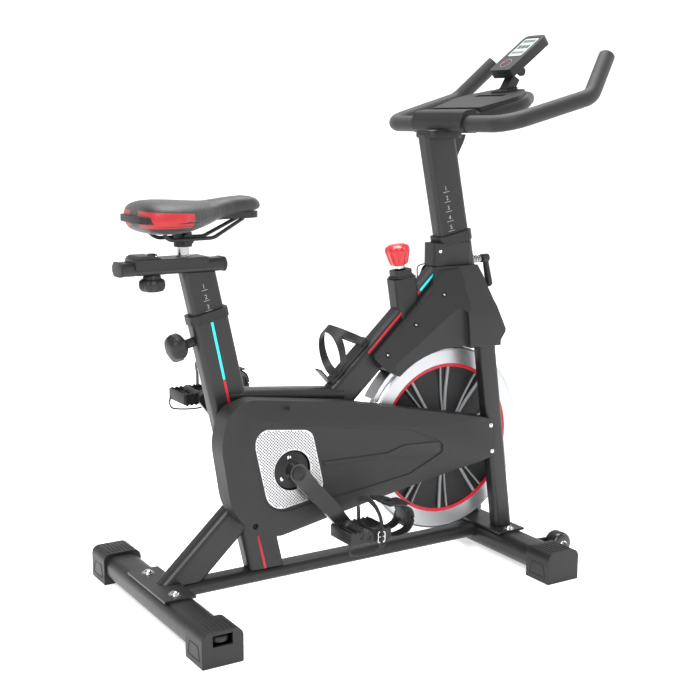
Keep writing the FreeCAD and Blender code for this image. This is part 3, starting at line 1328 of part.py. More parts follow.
keep("main_tube", group("main_tube_group", [drilled, fuse("brake_hanger", *cheeks, pin)]))

# magnet brake shoe over the rim, on its pivot below the main tube
shoe_gap = 4.0
shoe_half = main_half - 1.0
shoe_r = float(wheel_r) + shoe_gap
shoe = Part.makeCylinder(shoe_r + 9, 2 * shoe_half, spot(wheel_x, -shoe_half, wheel_z), Y)
shoe = shoe.cut(Part.makeCylinder(shoe_r, 60, spot(wheel_x, -30, wheel_z), Y))
fan = [math.radians(angle) for angle in (126, 150)]
sector_points = [spot(wheel_x, -30, wheel_z)]
sector_points += [spot(wheel_x + 400 * math.cos(a), -30, wheel_z + 400 * math.sin(a)) for a in fan]
sector = Part.Face(Part.makePolygon(sector_points + sector_points[:1])).extrude(Y * 60)
boss = Part.makeCylinder(9.0, 2 * shoe_half, arm_pivot - Y * shoe_half, Y)
bore = Part.makeCylinder(pin_radius + float(run), 60, arm_pivot - Y * 30, Y)
keep("brake_arm", shaped("brake_arm_shape", shoe.common(sector).fuse(boss).cut(bore).removeSplitter()))

# clamping lever in front of the head
lever_x, lever_z = size("lever_x"), size("lever_z")
screw_start = on_axis(head_point, head_lean, lever_z).x + 1.5
screw_start += float(size("head_depth")) / 2 / math.cos(math.radians(float(head_lean)))
screw = Part.makeCylinder(5.0, float(lever_x) - screw_start, spot(screw_start, 0, lever_z), X)
hub = Part.makeCylinder(9.0, 16.0, spot(lever_x, 0, lever_z), X)
grip_dir = Vector(0.22, 0, -1).normalize()
grip = Part.makeCone(6.0, 8.0, float(size("lever_length")), spot(lever_x + 10, 0, lever_z), grip_dir)
grip_end = Part.makeSphere(8.0, spot(lever_x + 10, 0, lever_z) + grip_dir * float(size("lever_length")))
keep("head_lever", shaped("head_lever_shape", screw.fuse([hub, grip, grip_end]).removeSplitter()))

# bottle cage on the main tube's upper face: a back plate, two slanting bands and a shelf
cage_foot = Vector(float(size("cage_x")), 0, main_height(size("cage_x")))
cage_foot += main_normal * (float(size("main_depth")) / 2)
cage_turn = Rotation(main_normal, -Y, main_dir, "ZYX")
bottle_r, cage_wall, band = (float(size(n)) for n in ("bottle_radius", "cage_wall", "cage_band"))
plate_long, plate_wide = float(size("cage_plate_length")), float(size("cage_plate_width"))
plate_thick = cage_wall + 1
plate_low = cage_foot - main_dir * (0.4 * plate_long)
cage_back = Part.makeBox(plate_thick, plate_wide, plate_long)
cage_back.Placement = Placement(plate_low + Y * (plate_wide / 2), cage_turn)
bottle_axis = cage_foot + main_normal * (plate_thick / 2 + cage_wall + bottle_r)
sleeve_low = bottle_axis - main_dir * plate_long
sleeve = Part.makeCylinder(bottle_r + cage_wall, 2 * plate_long, sleeve_low, main_dir)
sleeve = sleeve.cut(Part.makeCylinder(bottle_r, 2 * plate_long, sleeve_low, main_dir))
bands = []
for along_tube, slant in ((0.0, 33.0), (0.36 * plate_long, -22.0)):
    facing = Rotation(Y, slant).multVec(main_dir)
    slab_low = bottle_axis + main_dir * along_tube - facing * (band / 2)
    slab = Part.makeCylinder(3 * bottle_r, band, slab_low, facing)
    bands.append(sleeve.common(slab))
shelf = Part.makeBox(float(size("cage_shelf_reach")), plate_wide - 6, cage_wall)
shelf.Placement = Placement(plate_low + Y * (plate_wide / 2 - 3), cage_turn)
keep("bottle_cage", shaped("bottle_cage_shape", cage_back.fuse(bands + [shelf]).removeSplitter()))

# cover and shroud screws, seated on their shells
screws = []
for x, z in ((-194, 394), (-268, 170), (298, 297), (303, 240)):
    screws.append(Part.makeCylinder(4.5, 1.6, Vector(x, -cover_face - 1.6, z), Y))
screws.append(Part.makeCylinder(4.0, 1.6, Vector(196, -25.6, 668), Y))
keep("cover_screws", shaped("cover_screw_group", Part.makeCompound(screws)))


# ---------------------------------------------------------------- wheels that touch the floor's edge

for side, sign in SIDES:
    centre = spot(size("roller_x"), sign * float(size("roller_offset")), size("roller_z"))
    half = size("roller_width") / 2
    roller_r = size("roller_radius")
    keep(f"transport_wheel_{side}", turned(f"transport_wheel_{side}", [
        (roller_axle_radius + run, -half), (roller_r - 3, -half), (roller_r, 3 - half), (roller_r, half - 3),
        (roller_r - 3, half), (roller_axle_radius + run, half)],
        Placement(centre, Rotation(X, 90))))
    leveler_y = sign * (float(size("stance_width")) / 2 - float(size("leveler_radius") + gap) - 1)
    keep(f"leveling_wheel_{side}", turned(f"leveling_wheel_{side}", [
        (0.0, 0.0), (size("leveler_radius"), 0.0), (size("leveler_radius"), size("leveler_height")),
        (0.0, size("leveler_height"))], place(rear_x, leveler_y, size("leveler_z"))))


# ---------------------------------------------------------------- check and write

doc.recompute()
for feature in doc.Objects:
    if "Invalid" in feature.State or "Error" in feature.State:
        raise RuntimeError(f"{feature.Label} failed: {feature.State}")
os.makedirs("parts", exist_ok=True)
for node, feature in nodes.items():
    shape = feature.Shape
    if shape.isNull() or not shape.isValid() or not shape.Solids:
        raise RuntimeError(f"{node} has no valid solid")
    shape.exportStep(os.path.join("parts", node + ".step"))
print(len(nodes), "sub-parts written")
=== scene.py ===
import json
import logging
import math
from collections.abc import Callable, Sequence
from dataclasses import dataclass
from enum import Enum

import bmesh
import bpy
import numpy as np
from mathutils import Matrix, Vector

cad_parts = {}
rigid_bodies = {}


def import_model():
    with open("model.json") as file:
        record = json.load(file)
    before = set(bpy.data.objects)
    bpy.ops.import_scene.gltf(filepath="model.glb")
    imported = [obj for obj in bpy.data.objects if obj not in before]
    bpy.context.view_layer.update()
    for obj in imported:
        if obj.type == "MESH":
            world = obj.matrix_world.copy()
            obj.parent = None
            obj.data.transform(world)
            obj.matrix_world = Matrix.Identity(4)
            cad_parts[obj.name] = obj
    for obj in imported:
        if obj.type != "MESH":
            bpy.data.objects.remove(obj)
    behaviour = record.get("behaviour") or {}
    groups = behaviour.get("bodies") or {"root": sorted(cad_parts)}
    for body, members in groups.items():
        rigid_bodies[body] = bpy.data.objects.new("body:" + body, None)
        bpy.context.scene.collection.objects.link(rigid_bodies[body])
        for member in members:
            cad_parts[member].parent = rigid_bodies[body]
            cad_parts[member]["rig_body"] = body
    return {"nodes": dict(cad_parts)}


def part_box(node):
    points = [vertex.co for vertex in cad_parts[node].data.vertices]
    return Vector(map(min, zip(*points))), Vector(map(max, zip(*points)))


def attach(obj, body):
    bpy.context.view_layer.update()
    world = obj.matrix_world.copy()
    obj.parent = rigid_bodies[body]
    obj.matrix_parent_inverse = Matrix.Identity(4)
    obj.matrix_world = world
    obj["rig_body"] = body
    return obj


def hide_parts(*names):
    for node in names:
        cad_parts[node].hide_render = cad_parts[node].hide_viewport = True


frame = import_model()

# Looks of the indoor spin bike, in metres: +X is the way the rider faces, +Y the rider's left, +Z up.

log = logging.getLogger("spin_bike")
RIGHT, LEFT = -1.0, 1.0
X_AXIS, Y_AXIS, Z_AXIS = Vector((1, 0, 0)), Vector((0, 1, 0)), Vector((0, 0, 1))
Point = tuple[float, float]

# Leans from upright of the seat tube, the handlebar post and the brake rod.
SEAT_LEAN, BAR_LEAN, BRAKE_LEAN = math.radians(12.7), math.radians(11.4), math.radians(9.2)
# Middle of the flywheel, in millimetres along X and Z.
WHEEL_X, WHEEL_Z = 222.0, 266.0
# Where the seat tube's axis stands at a height, in millimetres.
SEAT_FOOT_X, SEAT_FOOT_Z = -211.0, 58.0


def mm(value: float) -> float:
    """A length given in millimetres, in metres."""
    return value * 0.001


def at(x: float, y: float, z: float) -> Vector:
    """A point given in millimetres, in metres."""
    return Vector((x, y, z)) * 0.001


def axes(origin: Vector, along: Vector, across: Vector) -> Matrix:
    """A placement from its own axes.

    Args:
        origin: where the local origin goes.
        along: direction of local X.
        across: direction near local Y.

    Returns:
        The matrix from local to world.
    """
    x = along.normalized()
    z = x.cross(across).normalized()
    y = z.cross(x)
    matrix = Matrix((x, y, z)).transposed().to_4x4()
    matrix.translation = origin
    return matrix


def leaning(lean: float) -> tuple[Vector, Vector]:
    """The directions along and up of something turned back by a lean, in radians."""
    return Vector((math.cos(lean), 0, math.sin(lean))), Vector((-math.sin(lean), 0, math.cos(lean)))


def side_plane(y: float) -> Matrix:
    """A drawing plane on the bike's side: local X forward, local Y up, local Z to the right (mm)."""
    return axes(at(0, y, 0), X_AXIS, Z_AXIS)


def turned_to(origin: Vector, direction: Vector) -> Matrix:
    """A placement whose local Z runs along a direction."""
    helper = Y_AXIS if abs(direction.normalized().y) < 0.9 else X_AXIS
    x = helper.cross(direction).normalized()
    return axes(origin, x, direction.normalized().cross(x))


def rounded(corners: Sequence[tuple[float, float, float]], steps: int = 6) -> list[Point]:
    """A polygon with round corners.

    Args:
        corners: (x, y, radius) of each corner, in millimetres.
        steps: segments in each corner.

    Returns:
        The outline in metres.
    """
    outline: list[Point] = []
    count = len(corners)
    for index, (x, y, radius) in enumerate(corners):
        here = Vector((x, y))
        before = (Vector(corners[index - 1][:2]) - here).normalized()
        after = (Vector(corners[(index + 1) % count][:2]) - here).normalized()
        if radius <= 0:
            outline.append((mm(x), mm(y)))
            continue
        half = before.angle(after) / 2
        reach = radius / math.tan(half)
        centre = here + (before + after).normalized() * (radius / math.sin(half))
        start, end = here + before * reach - centre, here + after * reach - centre
        sweep = start.angle_signed(end)
        for step in range(steps + 1):
            turn = -sweep * step / steps
            spot = centre + Matrix.Rotation(turn, 2) @ start
            outline.append((mm(spot.x), mm(spot.y)))
    return outline


def oblong(x: float, y: float, wide: float, tall: float, radius: float) -> list[Point]:
    """A rounded rectangle about a centre, from millimetres."""
    a, b = wide / 2, tall / 2
    return rounded([(x - a, y - b, radius), (x + a, y - b, radius), (x + a, y + b, radius),
                    (x - a, y + b, radius)])


def smooth_line(points: Sequence[Vector], steps: int = 8, closed: bool = False) -> list[Vector]:
    """A Catmull-Rom curve through points.

    Args:
        points: the points passed through.
        steps: segments between two of them.
        closed: whether the last joins the first.

    Returns:
        The points of the curve.
    """
    count = len(points)
    line: list[Vector] = []
    for index in range(count if closed else count - 1):
        if closed:
            p0, p1, p2, p3 = (points[(index + k) % count] for k in (-1, 0, 1, 2))
        else:
            p0, p1, p2, p3 = (points[min(max(index + k, 0), count - 1)] for k in (-1, 0, 1, 2))
        for step in range(steps):
            t = step / steps
            line.append(0.5 * ((2 * p1) + (p2 - p0) * t + (2 * p0 - 5 * p1 + 4 * p2 - p3) * t * t
                               + (3 * p1 - p0 - 3 * p2 + p3) * t ** 3))
    if not closed:
        line.append(points[-1].copy())
    return line


# ------------------------------------------------------------------ finishes


class Surface(Enum):
    """The small relief of a finish."""

    SMOOTH = "smooth"
    POWDER = "powder"
    LEATHER = "leather"
    TURNED = "turned"
    BRUSHED = "brushed"


@dataclass(frozen=True)
class Finish:
    """One finish and how it is built.

    Args:
        name: material name.
        color: base colour, linear.
        roughness: mean roughness.
        metallic: 1 for bare metal.
        coat: clear coat weight.
        surface: kind of small relief.
        scale: size of the relief pattern.
        relief: depth of the relief in metres.
        edge: radius of the softened edges in metres.
        wear_and_highlight: how much lighter the edges get, for rubbed wear and a painted edge highlight.
        dust: how much dust lies on upward faces.
        sheen: cloth sheen weight.
        painted_glow: emission strength, a painted glow on parts that are no lamps.
    """

    name: str
    color: tuple[float, float, float]
    roughness: float
    metallic: float = 0.0
    coat: float = 0.0
    surface: Surface = Surface.SMOOTH
    scale: float = 900.0
    relief: float = 0.00006
    edge: float = 0.0010
    wear_and_highlight: float = 0.15
    dust: float = 0.02
    sheen: float = 0.0
    painted_glow: float = 0.0


POWDER_BLACK = Finish("powder_black", (0.010, 0.010, 0.011), 0.42, surface=Surface.POWDER, scale=1400,
                      relief=0.00005, edge=0.0018, wear_and_highlight=0.25, coat=0.12)
COVER_BLACK = Finish("cover_black", (0.013, 0.013, 0.014), 0.50, surface=Surface.POWDER, scale=2200,
                     relief=0.00004, edge=0.0016, wear_and_highlight=0.2)
PANEL_BLACK = Finish("panel_black", (0.009, 0.009, 0.010), 0.58, surface=Surface.POWDER, scale=2600,
                     relief=0.00004)
TRIM_BLACK = Finish("trim_black", (0.009, 0.009, 0.0095), 0.46, surface=Surface.POWDER, scale=1800,
                    relief=0.00005, edge=0.0014)
# Near-black matte that paints shade: the grille's hole dots, the rings around the shroud screws and the sunk screw
# heads.
PAINTED_SHADE_BLACK = Finish("pit_black", (0.003, 0.003, 0.003), 0.85, dust=0.0, wear_and_highlight=0.0)
BAR_RUBBER = Finish("bar_rubber", (0.010, 0.010, 0.011), 0.62, surface=Surface.POWDER, scale=1100,
                    relief=0.00008, edge=0.001, sheen=0.1)
ARM_BLACK = Finish("arm_black", (0.012, 0.012, 0.013), 0.33, coat=0.3, surface=Surface.POWDER, edge=0.0016,
                   wear_and_highlight=0.25)
BELT_RUBBER = Finish("belt_black", (0.012, 0.012, 0.012), 0.7)
CHROME = Finish("chrome", (0.56, 0.56, 0.57), 0.10, metallic=1.0, edge=0.0006, dust=0.02)
STEEL = Finish("plain_steel", (0.50, 0.50, 0.51), 0.30, metallic=1.0, surface=Surface.BRUSHED, scale=300)
RIM = Finish("rim_steel", (0.50, 0.51, 0.53), 0.34, metallic=0.9, surface=Surface.TURNED, scale=2600,
             relief=0.00003, dust=0.02)
GRILLE = Finish("grille_metal", (0.55, 0.55, 0.56), 0.34, metallic=0.85, surface=Surface.BRUSHED, scale=500,
                relief=0.00002)
ROLLER = Finish("roller_black", (0.013, 0.013, 0.014), 0.28, coat=0.2)
LEATHER = Finish("saddle_black", (0.010, 0.010, 0.011), 0.44, surface=Surface.LEATHER, scale=620,
                 relief=0.00016, sheen=0.15, edge=0.002, wear_and_highlight=0.0)
LEATHER_RED = Finish("saddle_red", (0.36, 0.008, 0.013), 0.36, surface=Surface.LEATHER, scale=760,
                     relief=0.00010, coat=0.15, edge=0.001, wear_and_highlight=0.0)
RED = Finish("knob_red", (0.45, 0.009, 0.013), 0.30, coat=0.3, edge=0.001, wear_and_highlight=0.1)
STRIPE_RED = Finish("stripe_red", (0.50, 0.012, 0.024), 0.38, wear_and_highlight=0.0)
# The cyan line gets a faint painted glow; it is no lamp.
STRIPE_CYAN = Finish("stripe_cyan", (0.03, 0.72, 0.74), 0.38, wear_and_highlight=0.0, painted_glow=0.12)
PRINT_WHITE = Finish("print_white", (0.33, 0.33, 0.34), 0.5, wear_and_highlight=0.0, dust=0.0)
SPOKE_GREY = Finish("spoke_grey", (0.26, 0.27, 0.28), 0.4, wear_and_highlight=0.0)
# A faint painted glow brightens the pale screen, which is no lamp.
SCREEN = Finish("screen_pale", (0.38, 0.42, 0.41), 0.18, coat=0.6, painted_glow=0.05, wear_and_highlight=0.0)
SEGMENT = Finish("segment_dark", (0.05, 0.06, 0.06), 0.35, wear_and_highlight=0.0)
THREAD = Finish("thread_black", (0.03, 0.03, 0.032), 0.6, wear_and_highlight=0.0)


class NodeSheet:
    """A node tree with short calls for its nodes, links and named sockets."""

    def __init__(self, tree: bpy.types.NodeTree) -> None:
        """Keeps the tree."""
        self.tree = tree

    def socket(self, name: str, kind: str, default: object = None, out: bool = False) -> None:
        """Adds a named socket to the group.

        Args:
            name: socket name.
            kind: short socket type, such as Float.
            default: its default value.
            out: whether it is an output.
        """
        side = "OUTPUT" if out else "INPUT"
        made = self.tree.interface.new_socket(name=name, in_out=side, socket_type=f"NodeSocket{kind}")
        if default is not None:
            made.default_value = default

    def add(self, kind: str, inputs: dict[str | int, object] | None = None,
            **settings: object) -> bpy.types.Node:
        """Adds a node.

        Args:
            kind: node type.
            inputs: value, or socket to link, for each input by name or place.
            settings: properties set on the node first.

        Returns:
            The node.
        """
        node = self.tree.nodes.new(kind)
        for key, value in settings.items():
            setattr(node, key, value)
        for key, value in (inputs or {}).items():
            if isinstance(value, bpy.types.NodeSocket):
                self.tree.links.new(value, node.inputs[key])
            else:
                node.inputs[key].default_value = value
        return node

    def math(self, operation: str, *values: object) -> bpy.types.NodeSocket:
        """A Math node's result; values are numbers or sockets."""
        return self.add("ShaderNodeMath", dict(enumerate(values)), operation=operation).outputs[0]


class FinishShop:
    """Builds the shared shader groups once and each finish as a material."""

    def __init__(self) -> None:
        """Builds the groups."""
        self.made: dict[str, bpy.types.Material] = {}
        self.edges = self._edge_group()
        self.relief = {kind: self._relief_group(kind) for kind in Surface}
        self.dust = self._dust_group()

    def group(self, name: str) -> NodeSheet:
        """An empty shader group."""
        return NodeSheet(bpy.data.node_groups.new(name, "ShaderNodeTree"))

    def _edge_group(self) -> bpy.types.NodeTree:
        """Softened edge normals and a mask of the edges that are lightened for rubbed wear and a painted highlight.
        """
        sheet = self.group("Edge wear")
        sheet.socket("Radius", "Float", 0.001)
        sheet.socket("Normal", "Vector", out=True)
        sheet.socket("Mask", "Float", out=True)
        enter = sheet.add("NodeGroupInput")
        bevel = sheet.add("ShaderNodeBevel", {"Radius": enter.outputs["Radius"]}, samples=4)
        flat = sheet.add("ShaderNodeNewGeometry")
        dot = sheet.add("ShaderNodeVectorMath", {0: bevel.outputs[0], 1: flat.outputs["Normal"]},
                        operation="DOT_PRODUCT")
        edge = sheet.add("ShaderNodeMapRange",
                         {"Value": dot.outputs["Value"], "From Min": 0.99, "From Max": 0.80})
        patch = sheet.add("ShaderNodeTexNoise", {"Scale": 60.0, "Detail": 3.0})
        coords = sheet.add("ShaderNodeTexCoord")
        sheet.tree.links.new(coords.outputs["Object"], patch.inputs["Vector"])
        mask = sheet.math("MULTIPLY", edge.outputs[0], patch.outputs[0])
        sheet.add("NodeGroupOutput", {"Normal": bevel.outputs[0], "Mask": mask})
        return sheet.tree

    def _relief_group(self, kind: Surface) -> bpy.types.NodeTree:
        """The height and the mottling of one kind of surface.

        Args:
            kind: which surface.

        Returns:
            The group, with outputs Height and Mottle.
        """
        sheet = self.group(f"Relief {kind.value}")
        sheet.socket("Scale", "Float", 900.0)
        sheet.socket("Centre", "Vector", (0.0, 0.0, 0.0))
        sheet.socket("Height", "Float", out=True)
        sheet.socket("Mottle", "Float", out=True)
        enter = sheet.add("NodeGroupInput")
        coords = sheet.add("ShaderNodeTexCoord").outputs["Object"]
        broad = sheet.add("ShaderNodeTexNoise", {"Vector": coords, "Scale": 14.0, "Detail": 4.0}).outputs[0]
        if kind is Surface.LEATHER:
            cells = sheet.add("ShaderNodeTexVoronoi", {"Vector": coords, "Scale": enter.outputs["Scale"]},
                              feature="DISTANCE_TO_EDGE")
            height = sheet.add("ShaderNodeMapRange", {"Value": cells.outputs[0], "From Max": 0.16}).outputs[0]
        elif kind is Surface.TURNED:
            offset = sheet.add("ShaderNodeVectorMath", {0: coords, 1: enter.outputs["Centre"]},
                               operation="SUBTRACT")
            flat = sheet.add("ShaderNodeVectorMath", {0: offset.outputs[0], 1: (1.0, 0.0, 1.0)},
                             operation="MULTIPLY")
            radius = sheet.add("ShaderNodeVectorMath", {0: flat.outputs[0]},
                               operation="LENGTH").outputs["Value"]
            rings = sheet.add("ShaderNodeTexNoise",
                              {"W": radius, "Scale": enter.outputs["Scale"], "Detail": 2.0},
                              noise_dimensions="1D")
            height = broad = rings.outputs[0]
        elif kind is Surface.BRUSHED:
            stretched = sheet.add("ShaderNodeMapping", {"Vector": coords, "Scale": (0.05, 1.0, 1.0)})
            height = sheet.add("ShaderNodeTexNoise",
                               {"Vector": stretched.outputs[0], "Scale": enter.outputs["Scale"],
                                                      "Detail": 3.0}).outputs[0]
        else:
            detail = 5.0 if kind is Surface.POWDER else 1.0
            height = sheet.add("ShaderNodeTexNoise", {"Vector": coords, "Scale": enter.outputs["Scale"],
                                                      "Detail": detail}).outputs[0]
        sheet.add("NodeGroupOutput", {"Height": height, "Mottle": broad})
        return sheet.tree

    def _dust_group(self) -> bpy.types.NodeTree:
        """A mask of the dust that lies on upward faces."""
        sheet = self.group("Dust")
        sheet.socket("Amount", "Float", 0.1)
        sheet.socket("Mask", "Float", out=True)
        enter = sheet.add("NodeGroupInput")
        normal = sheet.add("ShaderNodeNewGeometry").outputs["Normal"]
        up = sheet.add("ShaderNodeSeparateXYZ", {0: normal}).outputs["Z"]
        lying = sheet.add("ShaderNodeMapRange", {"Value": up, "From Min": 0.4, "From Max": 1.0}).outputs[0]
        coords = sheet.add("ShaderNodeTexCoord").outputs["Object"]
        specks = sheet.add("ShaderNodeTexNoise", {"Vector": coords, "Scale": 45.0, "Detail": 6.0}).outputs[0]
        mask = sheet.math("MULTIPLY", sheet.math("MULTIPLY", lying, specks), enter.outputs["Amount"])
        sheet.add("NodeGroupOutput", {"Mask": mask})
        return sheet.tree

    def material(self, finish: Finish) -> bpy.types.Material:
        """The material of a finish, built the first time it is asked for.

        Args:
            finish: the finish.

        Returns:
            Its material.
        """
        if finish.name in self.made:
            return self.made[finish.name]
        material = bpy.data.materials.new(finish.name)
        material.use_nodes = True
        sheet = NodeSheet(material.node_tree)
        sheet.tree.nodes.clear()
        edges = sheet.add("ShaderNodeGroup", node_tree=self.edges)
        edges.inputs["Radius"].default_value = finish.edge
        relief = sheet.add("ShaderNodeGroup", node_tree=self.relief[finish.surface])
        relief.inputs["Scale"].default_value = finish.scale
        relief.inputs["Centre"].default_value = (mm(WHEEL_X), 0.0, mm(WHEEL_Z))
        dust = sheet.add("ShaderNodeGroup", node_tree=self.dust)
        dust.inputs["Amount"].default_value = finish.dust
        # Edges lighten under the edge mask: rubbed wear, and a painted highlight along the edges.
        wear_highlight_color = tuple(min(1.0, c * 1.8 + 0.03) for c in finish.color)
        wear_highlight_mix = sheet.add("ShaderNodeMix", {0: sheet.math("MULTIPLY", edges.outputs["Mask"], finish.wear_and_highlight),
                                           6: (*finish.color, 1.0), 7: (*wear_highlight_color, 1.0)}, data_type="RGBA")
        dusty = sheet.add("ShaderNodeMix",
                          {0: dust.outputs["Mask"], 6: wear_highlight_mix.outputs[2], 7: (0.35, 0.34, 0.33, 1.0)},
                          data_type="RGBA")
        spread = sheet.math("MULTIPLY_ADD", relief.outputs["Mottle"], 0.14, finish.roughness - 0.07)
        rough = sheet.math("ADD", spread, sheet.math("MULTIPLY", dust.outputs["Mask"], 0.3))
        bump = sheet.add("ShaderNodeBump",
                         {"Height": relief.outputs["Height"], "Normal": edges.outputs["Normal"]})
        bump.inputs["Strength"].default_value = 0.6 if finish.surface is not Surface.SMOOTH else 0.05
        bump.inputs["Distance"].default_value = finish.relief
        shader = sheet.add("ShaderNodeBsdfPrincipled", {"Base Color": dusty.outputs[2], "Roughness": rough,
                                                        "Normal": bump.outputs[0]})
        shader.inputs["Metallic"].default_value = finish.metallic
        shader.inputs["Coat Weight"].default_value = finish.coat
        shader.inputs["Coat Roughness"].default_value = 0.18
        shader.inputs["Specular IOR Level"].default_value = 0.5 if finish.metallic > 0.5 else 0.36
        shader.inputs["Sheen Weight"].default_value = finish.sheen
        # Emission here is a painted glow, not a lamp.
        if finish.painted_glow:
            shader.inputs["Emission Color"].default_value = (*finish.color, 1.0)
            shader.inputs["Emission Strength"].default_value = finish.painted_glow
        sheet.add("ShaderNodeOutputMaterial", {"Surface": shader.outputs[0]})
        self.made[finish.name] = material
        return material


SHOP = FinishShop()


# ------------------------------------------------------------------ geometry nodes


class PieceTree(NodeSheet):
    """A Geometry Nodes group that repeats or spreads the piece it is put on."""

    def __init__(self, name: str) -> None:
        """Makes the group with its geometry sockets."""
        super().__init__(bpy.data.node_groups.new(name, "GeometryNodeTree"))
        self.socket("Geometry", "Geometry")
        self.socket("Geometry", "Geometry", out=True)
        self.socket("Material", "Material")

    def close(self, geometry: bpy.types.NodeSocket, enter: bpy.types.Node) -> None:
        """Ends the tree in Realize Instances and Set Material."""
        real = self.add("GeometryNodeRealizeInstances", {0: geometry})
        dressed = self.add("GeometryNodeSetMaterial",
                           {"Geometry": real.outputs[0], "Material": enter.outputs["Material"]})
        self.add("NodeGroupOutput", {0: dressed.outputs[0]})

    def apply(self, piece: bpy.types.Object, finish: Finish, **values: object) -> bpy.types.Object:
        """Runs the tree on a piece and leaves a plain mesh.

        Args:
            piece: object whose mesh is the single piece.
            finish: finish of the result.
            values: value of each named input, with underscores for spaces.

        Returns:
            The same object with the repeated mesh.
        """
        modifier = piece.modifiers.new("pieces", "NODES")
        modifier.node_group = self.tree
        given = {key.replace("_", " "): value for key, value in values.items()}
        given["Material"] = SHOP.material(finish)
        for item in self.tree.interface.items_tree:
            if item.item_type == "SOCKET" and item.in_out == "INPUT" and item.name in given:
                modifier[item.identifier] = given[item.name]
        bpy.context.view_layer.update()
        graph = bpy.context.evaluated_depsgraph_get()
        mesh = bpy.data.meshes.new_from_object(piece.evaluated_get(graph))
        piece.modifiers.remove(modifier)
        piece.data = mesh
        return piece


def repeat_tree() -> PieceTree:
    """Repeats a piece along a line, turning it a step each time."""
    tree = PieceTree("Repeat in a row or ring")
    tree.socket("Count", "Int", 6)
    tree.socket("Start", "Vector", (0.0, 0.0, 0.0))
    tree.socket("Step", "Vector", (0.0, 0.0, 0.0))
    tree.socket("Axis", "Vector", (0.0, 1.0, 0.0))
    tree.socket("Turn", "Float", 0.0)
    enter = tree.add("NodeGroupInput")
    line = tree.add("GeometryNodeMeshLine",
                    {"Count": enter.outputs["Count"], "Start Location": enter.outputs["Start"],
                                             "Offset": enter.outputs["Step"]}, mode="OFFSET")
    turn = tree.math("MULTIPLY", tree.add("GeometryNodeInputIndex").outputs[0], enter.outputs["Turn"])
    spin = tree.add("FunctionNodeAxisAngleToRotation", {"Axis": enter.outputs["Axis"], "Angle": turn})
    set_out = tree.add("GeometryNodeInstanceOnPoints",
                       {"Points": line.outputs[0], "Instance": enter.outputs["Geometry"],
                                                        "Rotation": spin.outputs[0]})
    tree.close(set_out.outputs[0], enter)
    return tree


def perforation_tree() -> PieceTree:
    """Spreads a dark dot, standing for a hole with painted shade, over a sheet in staggered rows, kept inside its
    edge and off a round opening.
    """
    tree = PieceTree("Perforated sheet")
    tree.socket("Sheet", "Object")
    tree.socket("Rows", "Int", 30)
    tree.socket("Columns", "Int", 30)
    tree.socket("Pitch", "Float", 0.005)
    tree.socket("Middle", "Vector", (0.0, 0.0, 0.0))
    tree.socket("Opening", "Vector", (0.0, 0.0, 0.0))
    tree.socket("Opening Radius", "Float", 0.03)
    enter = tree.add("NodeGroupInput")
    index = tree.add("GeometryNodeInputIndex").outputs[0]
    column = tree.math("MODULO", index, enter.outputs["Columns"])
    row = tree.math("FLOOR", tree.math("DIVIDE", index, enter.outputs["Columns"]))
    shift = tree.math("MULTIPLY", tree.math("MODULO", row, 2.0), 0.5)
    centred = tree.math("SUBTRACT", tree.math("ADD", column, shift),
                        tree.math("MULTIPLY", enter.outputs["Columns"], 0.5))
    x = tree.math("MULTIPLY", centred, enter.outputs["Pitch"])
    rise = tree.math("SUBTRACT", row, tree.math("MULTIPLY", enter.outputs["Rows"], 0.5))
    z = tree.math("MULTIPLY", tree.math("MULTIPLY", rise, enter.outputs["Pitch"]), 0.5)
    offset = tree.add("ShaderNodeCombineXYZ", {"X": x, "Z": z}).outputs[0]
    spot = tree.add("ShaderNodeVectorMath", {0: offset, 1: enter.outputs["Middle"]},
                    operation="ADD").outputs[0]
    total = tree.math("MULTIPLY", enter.outputs["Rows"], enter.outputs["Columns"])
    points = tree.add("GeometryNodePoints", {"Count": total, "Position": spot})
    info = tree.add("GeometryNodeObjectInfo", {"Object": enter.outputs["Sheet"]})
    outward = tree.add("ShaderNodeVectorMath", {0: offset, "Scale": 1.035}, operation="SCALE").outputs[0]
    probe = tree.add("ShaderNodeVectorMath", {0: outward, 1: enter.outputs["Middle"]},
                     operation="ADD").outputs[0]
    ahead = tree.add("ShaderNodeVectorMath", {0: probe, 1: (0.0, -0.02, 0.0)}, operation="ADD").outputs[0]
    ray = tree.add("GeometryNodeRaycast",
                   {"Target Geometry": info.outputs["Geometry"], "Source Position": ahead,
                                           "Ray Direction": (0.0, 1.0, 0.0), "Ray Length": 0.03})
    apart = tree.add("ShaderNodeVectorMath", {0: spot, 1: enter.outputs["Opening"]}, operation="DISTANCE")
    clear = tree.math("GREATER_THAN", apart.outputs["Value"], enter.outputs["Opening Radius"])
    keep = tree.add("FunctionNodeBooleanMath", {0: ray.outputs["Is Hit"], 1: clear},
                    operation="AND").outputs[0]
    set_out = tree.add("GeometryNodeInstanceOnPoints", {"Points": points.outputs[0], "Selection": keep,
                                                        "Instance": enter.outputs["Geometry"]})
    tree.close(set_out.outputs[0], enter)
    return tree


